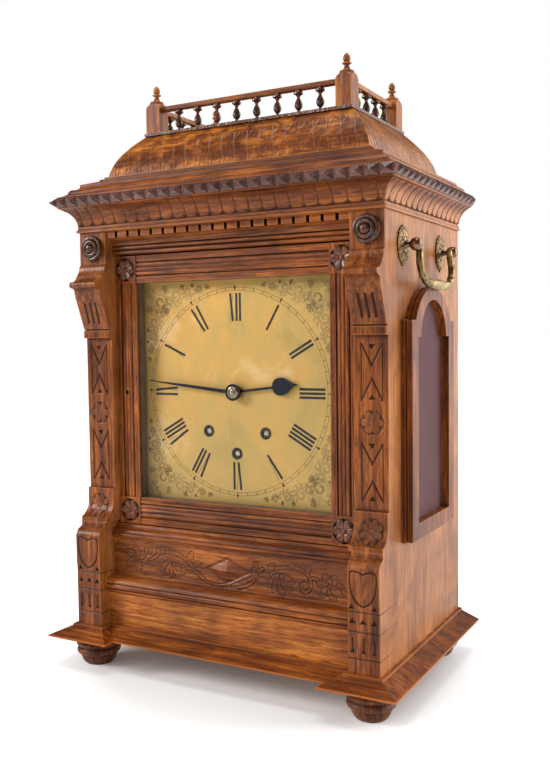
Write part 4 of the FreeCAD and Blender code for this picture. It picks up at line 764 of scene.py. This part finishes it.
def frieze_carving(x, z):
    """Vine on both sides of the lozenge, whose frame is cut and whose middle is a low pyramid."""
    c = Carving(x, z - 116.5)
    for line in STEMS:
        raise_stem(c, line)
    for leaf in PETALS:
        raise_petal(c, *leaf)
    for cx, cz in ((-65, -3), (-113, -1), (62, -1), (114, -5)):
        d = np.hypot(c.x - cx, c.z - cz)
        eye = d < 2.3
        c.height = np.where(eye, 1.0 * np.sqrt(unit(1 - (d / 2.3) ** 2)), c.height)
        ring = fade(np.abs(d - 2.8), 0.8) * ~eye
        c.cut(0.9 * ring, 0.85 * ring)
        c.cavity = np.where(eye, 0.2, c.cavity)
    c.height = np.clip(c.height, -1.2, 1.2) + 0.12 * np.sin(x * 0.31 + 1.3 * np.sin(z * 0.4)) * np.cos(z * 0.35)
    u = np.abs(c.x) / 28.5 + np.abs(c.z + 2.2) / 14.8
    inner = np.abs(c.x) / 24.0 + np.abs(c.z + 2.2) / 11.8
    frame_edge = (u < 1) & (inner >= 1)
    slope = np.where(frame_edge, -1.5 * unit((1 - u) * 5.5), 0)
    raised = np.where(inner < 1, 4.2 * (1 - inner) - 1.2, slope)
    c.height = np.where(u < 1, raised, c.height)
    c.cavity = np.where(u < 1, np.where(frame_edge, 0.35 * unit((1 - u) * 6), 0.0), c.cavity)
    rim = unit(1 - np.abs(inner - 1.0) * 14)
    c.cavity = np.maximum(c.cavity, 0.75 * rim * (u < 1.02))
    return c.done()


def add_frieze():
    y = Y_BOARD - 23.0
    profile = traced([(y, Z_CARVED), (y, Z_SILL)], 0.4)
    carved_board("frieze", -X_FOOT, X_FOOT, profile, y + 12, frieze_carving, OAK_ACROSS, 0.4, slot="oak_front",
                 replaces=["carved_panel"])


# -------- cornice and dome
PITCH = 14.7


def cove_carving(along, profile, side):
    """Row of round-ended tongues with a chip between each two."""
    z = profile[:, 1] - Z_TOP
    u = ((along / PITCH + 0.5) % 1.0 - 0.5) * PITCH
    half, foot, top = PITCH / 2, 6.4, 23.4
    above = z - foot
    ellipse = np.hypot(u, np.minimum(above - half * 0.75, 0) / 0.75) / half
    fine = 0.8 if side == "f" else 0.6
    # Lines on the sides are painted less dark than on the front: painted light on the lit side.
    shade = 0.85 if side == "f" else 0.5
    line = fade(np.abs(ellipse - 0.97) * half, fine) * (z > foot - 0.6) * (z < top)
    gap = unit((ellipse - 1.0) * half / 0.9) * (z > foot - 0.2) * (z < foot + half)
    tick = fade(np.abs(np.abs(u) - half), 1.3) * fade(np.abs(z - top), 1.2)
    round_up = 0.35 * unit(1 - (u / half) ** 2) * (ellipse < 0.95) * (z > foot) * (z < top)
    height = round_up - 1.0 * line - 1.5 * gap - 0.8 * tick
    dirt_and_shade = unit(0.72 * shade * line + 0.95 * gap + 0.75 * tick)
    return height, dirt_and_shade


def add_cornice():
    z = Z_TOP
    steps = [(2.3, z), (2.3, z + 2.4), (1.0, z + 3.2), (1.0, z + 5.2),
             ((4.2, z + 16.6), (13.8, z + 24.2)), (15.5, z + 24.9), (15.5, Z_BEAD)]
    profile = traced(steps, 0.7)
    mitred_ring("cove", profile, -RAIL_T, "lfr", Y_BACK, cove_carving, OAK_ACROSS, 0.7, slot="oak_front",
                replaces=["cornice_cove"])


def dome_carving(along, profile, side):
    """Incised curves: crossing pairs on the front, long single ones on the sides."""
    run = np.concatenate([[0], np.cumsum(np.hypot(*np.diff(profile, axis=0).T))])
    share = run / run[-1]
    u = ((along / PITCH + 0.5) % 1.0 - 0.5) * PITCH
    if side in "fb":
        bend = 0.40 * PITCH * (1 - share / 0.52) + 0.05 * PITCH * np.sin(share * 6)
        arms = np.abs(np.abs(u) - np.abs(bend))
        line = fade(arms, 0.55) * (share < 0.74) * (share > 0.03)
        stem = fade(np.abs(np.abs(u) - PITCH / 2), 0.40) * (share > 0.45) * (share < 0.97) * 0.3
        cut = np.maximum(line, stem)
    else:
        lean = PITCH * 0.5 * share ** 1.6
        w = ((along + lean) / (PITCH / 2) + 0.5) % 1.0 - 0.5
        cut = fade(np.abs(w * PITCH / 2), 1.0) * (share < 0.97) * (share > 0.03)
    pale = -0.14 if side in "fb" else 0.50
    return -0.75 * cut, pale * cut


def add_dome():
    z, p = Z_DOME, -22.5
    steps = [(p, z), ((p - 3.6, z + 11.5), (p - 9, z + 22)), ((p - 17.6, z + 33), (p - 29.6, z + DOME_H))]
    profile = traced(steps, 0.9)
    mitred_ring("dome", profile, p - 36.0, "lfrb", Y_BACK - p, dome_carving, OAK_DOME, 0.7, slot="oak_front",
                replaces=["dome_roof"])


def plain_bars(boxes, ease=0.4):
    """Points and faces of straight bars with eased long edges: (x0, x1, y0, y1, z0, z1) each, along X."""
    points, faces = [], []
    for x0, x1, y0, y1, z0, z1 in boxes:
        ring = [(y0, z0 + ease), (y0 + ease, z0), (y1 - ease, z0), (y1, z0 + ease), (y1, z1 - ease),
                (y1 - ease, z1), (y0 + ease, z1), (y0, z1 - ease)]
        n, start = len(ring), len(points)
        points += [(x, y, z) for x in (x0, x1) for y, z in ring]
        faces += [(start + i, start + n + i, start + n + (i + 1) % n, start + (i + 1) % n) for i in range(n)]
        faces += [tuple(range(start, start + n)), tuple(range(start + n, start + 2 * n))[::-1]]
    return points, faces


def add_rails():
    """Boards that close the hollow cornice in front and behind."""
    boxes = []
    for z0, z1 in ((Z_TOP, Z_BEAD), (Z_BEAD, Z_SLAB)):
        boxes.append((-INNER_W, INNER_W, Y_BACK - RAIL_T, Y_BACK, z0, z1))
        boxes.append((-INNER_W, INNER_W, Y_CORNICE + RAIL_T, Y_BOARD, z0, z1))
    points, faces = plain_bars(boxes, 0.2)
    piece("cornice_rails", points, faces, OAK_ACROSS, "oak_front", smooth=False)


FRONT_BEADS, SIDE_BEADS = 26, 16


def add_beads():
    """Strip with a row of faceted beads and a corner bead at each front corner."""
    out, tip, z, height = 17.0, 22.0, Z_BEAD, Z_SLAB - Z_BEAD
    profile = traced([(15.5, z), (out, z + 0.6), (out, z + height - 0.6), (15.5, z + height)], 1.5)

    def blank(along, run, side):
        return np.zeros(len(run)), np.full(len(run), 0.25)
    mitred_ring("bead_strip", profile, -RAIL_T, "lfr", Y_BACK, blank, OAK_DARK, 4.0, slot="oak_front",
                replaces=["bead_moulding"])
    points, faces = [], []
    middle, half_h = z + height / 2, 5.0

    def bead(centre, along, outward_dir, half, rise):
        a, o = np.array(along + (0.0,)), np.array(outward_dir + (0.0,))
        up, c, start = np.array([0, 0, 1.0]), np.array(centre), len(points)
        for grow, level in ((1.0, -1.7), (1.0, 0.15), (0.06, rise)):
            for i, j in ((-1, -1), (1, -1), (1, 1), (-1, 1)):
                points.append(c + a * i * half * grow + up * j * half_h * grow + o * level)
        for k in (0, 4):
            for i in range(4):
                faces.append((start + k + i, start + k + (i + 1) % 4, start + k + 4 + (i + 1) % 4, start + k + 4 + i))
        faces.append((start + 3, start + 2, start + 1, start))
        faces.append((start + 8, start + 9, start + 10, start + 11))
    edge_x, edge_y = HALF_W + out, Y_CORNICE - out
    pitch = 2 * edge_x / FRONT_BEADS
    for i in range(FRONT_BEADS):
        bead((-edge_x + (i + 0.5) * pitch, edge_y, middle), (1.0, 0.0), (0.0, -1.0), pitch / 2 - 1.0, tip - out)
    pitch = (Y_BACK - edge_y) / SIDE_BEADS
    for i in range(SIDE_BEADS):
        for sign in (1, -1):
            bead((sign * edge_x, edge_y + (i + 0.5) * pitch, middle), (0.0, 1.0 * sign), (1.0 * sign, 0.0),
                 pitch / 2 - 1.0, tip - out)
    d = math.sqrt(0.5)
    for sign in (1, -1):
        bead((sign * (edge_x - 1.25), edge_y + 1.25, middle), (d, d * sign), (d * sign, -d), 1.7, 8.6)
    piece("beads", points, faces, OAK_BEAD, "oak_front", smooth=False)


# -------- door flowers
def add_door_flowers():
    radius, around = 12.0, 144
    rings = np.linspace(0.02, 1.0, 40)
    angles = 2 * math.pi * np.arange(around) / around
    r, t = np.meshgrid(rings, angles, indexing="ij")
    wave = np.abs(np.cos(3 * t))
    edge = 0.70 + 0.28 * wave ** 0.6
    body = unit((edge - r) * 6) * unit((r - 0.16) * 7)
    scoop = 0.45 + 0.55 * unit((r - 0.2) / 0.6)
    height = 2.1 * body * scoop * (0.35 + 0.65 * wave ** 0.5)
    height = np.where(r < 0.2, 1.9 * np.sqrt(unit(1 - (r / 0.2) ** 2)) + 0.2, height)
    dirt_and_shade = 0.8 * unit(1 - body * 1.2 * wave ** 0.3) * (r > 0.2) * unit((1.02 - r) * 14)
    flat = np.stack([r * radius * np.cos(t), r * radius * np.sin(t), height], -1).reshape(-1, 3)
    base = np.stack([radius * np.cos(angles), radius * np.sin(angles), np.full(around, -0.2)], -1)
    points = np.vstack([flat, base])
    one = tube_faces(len(rings) + 1, around)
    cavity = np.concatenate([dirt_and_shade.reshape(-1), np.zeros(around)])
    every, faces = [], []
    for x in (-DOOR_FLOWER_X, DOOR_FLOWER_X):
        for z in DOOR_FLOWER_ZS:
            faces += moved(one, len(every) * len(points))
            every.append(placed(points, (x, Y_DOOR - 0.8, z), (0, -1, 0)))
    piece("door_flowers", np.vstack(every), faces, OAK_DARK, "oak_front", "front_door", cavity=np.tile(cavity, 4),
          replaces=["door_rosettes"])


# -------- dial markings
INK_T = 0.10
INK_OUT = 0.06


class Ink:
    """Flat strokes laid on the dial, collected into one mesh."""

    def __init__(self):
        self.points, self.faces = [], []

    def polygon(self, corners):
        """Thin plate from (x, z) corners about the dial's centre."""
        start, n = len(self.points), len(corners)
        for y in (Y_DIAL - INK_OUT, Y_DIAL - INK_OUT + INK_T):
            self.points += [(x, y, DIAL_Z + z) for x, z in corners]
        self.faces.append(tuple(range(start, start + n)))
        self.faces.append(tuple(range(start + n, start + 2 * n))[::-1])
        self.faces += [(start + i, start + n + i, start + n + (i + 1) % n, start + (i + 1) % n) for i in range(n)]

    def stroke(self, a, b, width_a, width_b=None):
        width_b = width_a if width_b is None else width_b
        a, b = np.array(a, float), np.array(b, float)
        side = np.array([-(b - a)[1], (b - a)[0]]) / np.linalg.norm(b - a)
        self.polygon([a + side * width_a / 2, a - side * width_a / 2, b - side * width_b / 2, b + side * width_b / 2])

    def ring(self, radius, width, count=240, cx=0.0, cz=0.0, out=INK_OUT):
        start = len(self.points)
        for r in (radius - width / 2, radius + width / 2):
            for y in (Y_DIAL - out, Y_DIAL - out + INK_T):
                for i in range(count):
                    t = 2 * math.pi * i / count
                    self.points.append((cx + r * math.sin(t), y, DIAL_Z + cz + r * math.cos(t)))
        order = (0, 1, 3, 2)
        for a, b in zip(order, order[1:] + order[:1]):
            for i in range(count):
                j = (i + 1) % count
                self.faces.append((start + a * count + i, start + a * count + j,
                                   start + b * count + j, start + b * count + i))

    def lay(self, name, material):
        piece(name, self.points, self.faces, material, "dial_brass", smooth=False)


def clockwise(angle, corners):
    """The same corners turned about the centre, in degrees."""
    t = math.radians(angle)
    return [(x * math.cos(t) + z * math.sin(t), -x * math.sin(t) + z * math.cos(t)) for x, z in corners]


NUMERALS = ["XII", "I", "II", "III", "IIII", "V", "VI", "VII", "VIII", "IX", "X", "XI"]
GLYPH_W = {"I": 4.1, "V": 7.4, "X": 7.4}
NUMERAL_IN, NUMERAL_OUT = 72.0, 100.2
MINUTE_IN, MINUTE_OUT = 102.9, 106.2
THICK, THIN = 2.5, 0.4


def numeral(ink, word, angle):
    """Radial Roman numeral with its foot towards the centre."""
    at = -sum(GLYPH_W[g] for g in word) / 2
    low, high = NUMERAL_IN, NUMERAL_OUT
    for g in word:
        mid = at + GLYPH_W[g] / 2
        strokes = {"I": [((mid, low), (mid, high), THICK)],
                   "V": [((mid - 2.2, high), (mid + 0.6, low), THICK), ((mid + 2.4, high), (mid + 0.9, low), THIN)],
                   "X": [((mid - 1.5, high), (mid + 1.3, low), THICK), ((mid + 2.0, high), (mid - 2.0, low), THIN)]}[g]
        for a, b, width in strokes:
            ink.stroke(*clockwise(angle, [a, b]), width)
        at += GLYPH_W[g]


def add_dial_marks():
    ink, fine = Ink(), Ink()
    for radius in (MINUTE_IN, MINUTE_OUT):
        fine.ring(radius, 0.38)
    for x, z in WINDING.values():
        ink.ring(4.75, 2.7, 60, x, z, 0.62)
    five = [(-1.1, 107.2), (-0.45, 103.6), (0.45, 103.6), (1.1, 107.2), (0, 108.0)]
    for minute in range(60):
        fine.stroke(*clockwise(6 * minute, [(0, MINUTE_IN), (0, MINUTE_OUT)]), 0.62)
        if minute % 5 == 0:
            ink.polygon(clockwise(6 * minute, five))
    for hour, word in enumerate(NUMERALS):
        numeral(ink, word, 30 * hour)
    ink.lay("dial_marks", BLACK_WAX)
    fine.lay("dial_circle", MINUTE_INK)


def add_square_ends():
    """Bright steel ends of the three winding squares, chamfered."""
    for body, (x, z) in WINDING.items():
        points, faces = [], []
        for half, y in ((1.5, -57.75), (2.45, -56.9), (2.56, -56.6), (2.56, -48.5)):
            points += [(x + i * half, y, DIAL_Z + z + j * half) for i, j in ((-1, -1), (1, -1), (1, 1), (-1, 1))]
        for k in (0, 4, 8):
            faces += [(k + i, k + (i + 1) % 4, k + 4 + (i + 1) % 4, k + 4 + i) for i in range(4)]
        faces += [(3, 2, 1, 0), (12, 13, 14, 15)]
        piece("square_end_" + body, points, [f[::-1] for f in faces], STEEL, "steel", body, smooth=False)


def scroll(cx, cz, radius, start, turns, hand, count=40):
    """Points of a spiral that winds in to its centre."""
    out = []
    for i in range(count + 1):
        s = i / count
        r = radius * (1 - s) ** 0.85
        t = math.radians(start) + hand * 2 * math.pi * turns * s
        out.append((cx + r * math.cos(t), cz + r * math.sin(t)))
    return out


def volute(cx, cz, radius, start, hand, lobes):
    """Scroll with nested leaf lobes along its outside."""
    lines = [scroll(cx, cz, radius * share, start + 14 * (1 - share) * hand, 1.55, hand, 44)
             for share in (1.0, 0.80, 0.62)]
    for k in range(lobes):
        t = math.radians(start + hand * (12 + 34 * k))
        size = radius * (0.34 - 0.022 * k)
        away = radius * (1.16 - 0.05 * k)
        px, pz = cx + away * math.cos(t), cz + away * math.sin(t)
        for share in (1.0, 0.58):
            sweep = [t + hand * math.radians(a) for a in range(-125, 66, 19)]
            lines.append([(px + size * share * math.cos(a), pz + size * share * math.sin(a)) for a in sweep])
    return lines


def corner_scrolls():
    """Engraved leaf scrolls of one corner, in mm from the corner inward along both edges."""
    lines = []
    chain = [(21, 19, 11.5, 235, 1, 8), (40, 13, 8.8, 160, -1, 7), (56, 9.2, 6.2, 20, 1, 6),
             (69, 6.2, 4.2, 170, -1, 6), (79, 4.2, 2.6, 10, 1, 4),
             (8.5, 8.0, 5.6, 60, 1, 6), (29, 28.0, 4.8, 240, -1, 5), (28, 5.0, 3.6, 80, 1, 5),
             (47.5, 3.4, 2.4, 80, -1, 4), (61.5, 2.4, 1.7, 70, 1, 3)]
    for cx, cz, r, start, hand, lobes in chain:
        drawn = volute(cx, cz, r, start, hand, lobes)
        lines += drawn
        if abs(cx - cz) > 1.7 or r > 9:
            lines += [[(z, x) for x, z in line] for line in drawn]
    return lines


def add_spandrels():
    """Engraving in the four corners of the dial, as thin dark ribbons."""
    ink = Ink()
    reach, circle, glass_edge = 112.8, 108.3, 113.5
    for line in corner_scrolls():
        for sx in (-1, 1):
            for sz in (-1, 1):
                run = [(sx * (reach - x), sz * (reach - z)) for x, z in line]
                run = [q for q in run if math.hypot(*q) > circle and max(map(abs, q)) < glass_edge]
                for i, (a, b) in enumerate(zip(run, run[1:])):
                    if 0.02 < math.dist(a, b) < 4:
                        share = 1 - i / len(run)
                        ink.stroke(a, b, 0.26 + 0.28 * share)
    ink.lay("dial_engraving", ENGRAVING)


def add_nut():
    """Collet and pin that hold the minute hand, with turned rings."""
    steps = [(0.01, 0), (6.3, 0), (6.3, 0.5), ((5.6, 1.5), (4.3, 1.7)), (4.0, 1.2), (3.1, 1.2), (3.0, 1.9),
             ((2.0, 2.15), (1.4, 2.15)), (1.3, 2.6), ((0.9, 3.1), (0.01, 3.2))]
    points, faces = turned_mesh(steps, 0.15, 64)
    piece("nut", placed(points, (0, -65.0, DIAL_Z), (0, -1, 0)), faces, NUT_BRASS, "movement_brass",
          "minute_train", replaces=["hand_nut"], sharp=35)


# -------- handles
def rose_shape():
    """Cast rose in its own plane: points (across, up, out), faces and grime."""
    around, rings = 180, np.linspace(0.03, 1.0, 44)
    t = 2 * math.pi * np.arange(around) / around
    r, a = np.meshgrid(rings, t, indexing="ij")
    wide = 14.9 * (1 + 0.028 * np.cos(18 * a) * r ** 6)
    foot = 2.6 * np.exp(-((a - 1.5 * math.pi) / 0.22) ** 2) + 1.0 * np.exp(-((a - 0.5 * math.pi) / 0.2) ** 2)
    tall = 17.4 * (1 + 0.028 * np.cos(18 * a) * r ** 6) + foot * r ** 3
    pearls = np.exp(-((r - 0.86) / 0.055) ** 2) * unit(np.cos(26 * a)) ** 0.6
    ribs = (0.5 + 0.5 * np.cos(12 * a + 1.2 * r)) * unit((r - 0.36) * 9) * unit((0.76 - r) * 9)
    hub = np.exp(-((r - 0.30) / 0.05) ** 2)
    rim = np.exp(-((r - 0.97) / 0.03) ** 2)
    detail = np.maximum.reduce([1.1 * pearls, 1.2 * ribs, 0.8 * hub, 0.5 * rim])
    out = 1.0 + 1.85 * (1 - r ** 2.4) + detail
    hollow_dark = unit(0.95 - 1.6 * detail) * (r > 0.24)
    front = np.stack([wide * r * np.cos(a), tall * r * np.sin(a), out], -1).reshape(-1, 3)
    back = front[-around:].copy()
    back[:, 2] = 0.0
    hollow_dark = np.concatenate([hollow_dark.reshape(-1), np.full(around, 0.5)])
    return np.vstack([front, back]), tube_faces(len(rings) + 1, around), hollow_dark


def bail_skin():
    """Cast leafwork over the drop handle, right hand side: points, faces and grime."""
    y0, y1 = HANDLE_YS[0] + 9.7, HANDLE_YS[1] - 9.7
    half = [(0, 0), (-1.8, -8.52), (-3.0, -17.04), (0.6, -26.27), (9.0, -33.02), (22.0, -35.5)]
    line = [(y0 + a, b) for a, b in half] + [((y0 + y1) / 2, -35.5)] + [(y1 - a, b) for a, b in reversed(half)]
    path = np.array(smooth_line(line, 16))
    step = np.hypot(*np.diff(path, axis=0).T)
    s = np.concatenate([[0], np.cumsum(step)])
    keep = (s > 4.2) & (s < s[-1] - 4.2)
    path, s = path[keep], s[keep] - s[-1] / 2
    tangent = np.gradient(path, axis=0)
    tangent /= np.linalg.norm(tangent, axis=1, keepdims=True)
    side = np.stack([-tangent[:, 1], tangent[:, 0]], -1)
    around = 40
    t = 2 * math.pi * np.arange(around) / around
    swell = 1.35 * np.exp(-(s / 16.0) ** 2)
    collars = sum(0.8 * np.exp(-((np.abs(s) - at) / 0.8) ** 2) for at in (24.5, 27.5, 44.0))
    leaf = 0.55 * np.abs(np.sin(s[:, None] * 0.42 + 1.2 * np.abs(np.sin(t))[None, :])) ** 0.7
    twist = 0.35 * np.abs(np.cos(4 * t[None, :] + 0.25 * s[:, None]))
    body = np.where(np.abs(s)[:, None] < 24, leaf + twist, 0.5 * twist + 0.4 * leaf)
    radius = 3.15 + swell[:, None] + collars[:, None] + body
    out = radius * np.cos(t)[None, :]
    y = path[:, 0:1] + side[:, 0:1] * radius * np.sin(t)[None, :]
    z = path[:, 1:2] + side[:, 1:2] * radius * np.sin(t)[None, :]
    lean = math.radians(5.0)
    x = HANDLE_X + out * math.cos(lean) - z * math.sin(lean)
    z = HANDLE_Z + z * math.cos(lean) + out * math.sin(lean)
    points = np.stack([x, y, z], -1).reshape(-1, 3)
    return points, tube_faces(len(path), around), unit(0.75 - 1.5 * body).reshape(-1)


def add_handles():
    rose, rose_faces, rose_grime = rose_shape()
    skin, skin_faces, skin_grime = bail_skin()
    for sign, side in ((1, "right"), (-1, "left")):
        roses = [np.stack([sign * (HALF_W + rose[:, 2]), y + sign * rose[:, 0], HANDLE_Z + rose[:, 1]], -1)
                 for y in HANDLE_YS]
        piece("handle_roses_" + side, np.vstack(roses), rose_faces + moved(rose_faces, len(rose)), AGED_BRASS,
              "aged_brass", cavity=np.tile(rose_grime, 2))
        shape = skin * np.array([sign, 1, 1])
        skin_order = skin_faces if sign > 0 else [f[::-1] for f in skin_faces]
        piece("handle_leafwork_" + side, shape, skin_order, AGED_BRASS, "aged_brass", "bail_" + side,
              cavity=skin_grime)


# -------- build
add_pilasters()
add_frieze()
add_cornice()
add_rails()
add_beads()
add_dome()
add_nut()
add_handles()
add_door_flowers()
add_dial_marks()
add_square_ends()
add_spandrels()


# -------- floor, light, camera
def stage_floor():
    """White floor that grows brighter to the camera away from the clock, so that it fades into the surround."""
    mesh = bpy.data.meshes.new("floor")
    size = 30.0
    mesh.from_pydata([(-size, -size, 0), (size, -size, 0), (size, size, 0), (-size, size, 0)], [], [(0, 1, 2, 3)])
    floor = bpy.data.objects.new("floor", mesh)
    bpy.context.scene.collection.objects.link(floor)
    paint = Paint("floor")
    paint.finish(Base_Color=(0.90, 0.90, 0.90, 1.0), Roughness=0.9, Specular_IOR_Level=0.05,
                 Emission_Color=(1.0, 1.0, 1.0, 1.0))
    path = paint.add("LightPath")
    far = paint.add("VectorMath", {"operation": "LENGTH"})
    paint.link(paint.coords, far.inputs[0])
    glow = paint.band(far.outputs["Value"], 0.17, 0.36, 0.04, 0.85)
    paint.link(paint.times(path.outputs["Is Camera Ray"], glow), paint.shader.inputs["Emission Strength"])
    floor.data.materials.append(paint.mat)


def area_light(name, place, target, size, power, colour):
    light = bpy.data.lights.new(name, "AREA")
    light.shape = "RECTANGLE"
    light.size, light.size_y = size
    light.energy = power
    light.color = colour
    lamp = bpy.data.objects.new(name, light)
    bpy.context.scene.collection.objects.link(lamp)
    lamp.location = place
    lamp.rotation_euler = (Vector(target) - Vector(place)).to_track_quat("-Z", "Y").to_euler()


def light_world():
    """Pale even surround: the camera and the glass see it white, and gloss sees it dim."""
    world = bpy.data.worlds.new("studio")
    bpy.context.scene.world = world
    tree = Tree(world)
    ground = world.node_tree.nodes["Background"]
    ground.inputs["Color"].default_value = (1, 1, 1, 1)
    rays = tree.add("LightPath").outputs
    seen = tree.math("MAXIMUM", rays["Is Camera Ray"], rays["Is Transmission Ray"])
    dim = tree.band(rays["Is Glossy Ray"], 0.0, 1.0, 0.42, 0.07)
    strength = tree.add("Mix")
    tree.feed((strength.inputs["Factor"], strength.inputs["A"], strength.inputs["B"]), (seen, dim, 1.0))
    tree.link(strength.outputs["Result"], ground.inputs["Strength"])


FOCAL_PX, PHOTO_PX = 892.7, 767      # fitted focal length and the picture's longer side
SENSOR = 36.0


def add_camera():
    """Camera fitted to the photo's view."""
    forward = Vector((-0.47852199, 0.87639542, -0.05429348))
    right = Vector((0.87795228, 0.47857544, -0.01285883))
    up = Vector((-0.01471411, 0.05382032, 0.99844222))
    data = bpy.data.cameras.new("camera")
    data.sensor_width = SENSOR
    data.lens = FOCAL_PX / PHOTO_PX * SENSOR
    data.clip_start, data.clip_end = 0.05, 100.0
    camera = bpy.data.objects.new("camera", data)
    bpy.context.scene.collection.objects.link(camera)
    turn = Matrix((right, up, -forward)).transposed()
    camera.matrix_world = Matrix.Translation((0.468609, -0.834023, 0.350387)) @ turn.to_4x4()
    bpy.context.scene.camera = camera


stage_floor()
light_world()
centre = (0, 0, 0.30)
white = (1.0, 1.0, 1.0)
for name, place, target, size, power, colour in (
        ("key_left", (-2.1, -1.5, 1.4), centre, (0.9, 0.9), 62.0, (1.0, 0.985, 0.96)),
        ("front_fill", (-0.5, -2.4, 1.5), centre, (0.8, 0.8), 9.0, white),
        ("right", (2.2, 1.1, 0.9), (0.15, 0.0, 0.3), (1.8, 1.8), 42.0, white),
        ("rear_right", (1.1, 2.4, 0.75), (0.15, 0.0, 0.3), (1.4, 2.0), 14.0, white),
        ("rear_top", (1.3, 1.6, 1.9), (0.1, 0.0, 0.5), (0.8, 0.8), 10.0, white),
        ("top", (0.1, 0.0, 2.2), centre, (1.2, 1.2), 20.0, white)):
    area_light(name, place, target, size, power, colour)
add_camera()

bpy.context.scene.view_settings.view_transform = "Standard"
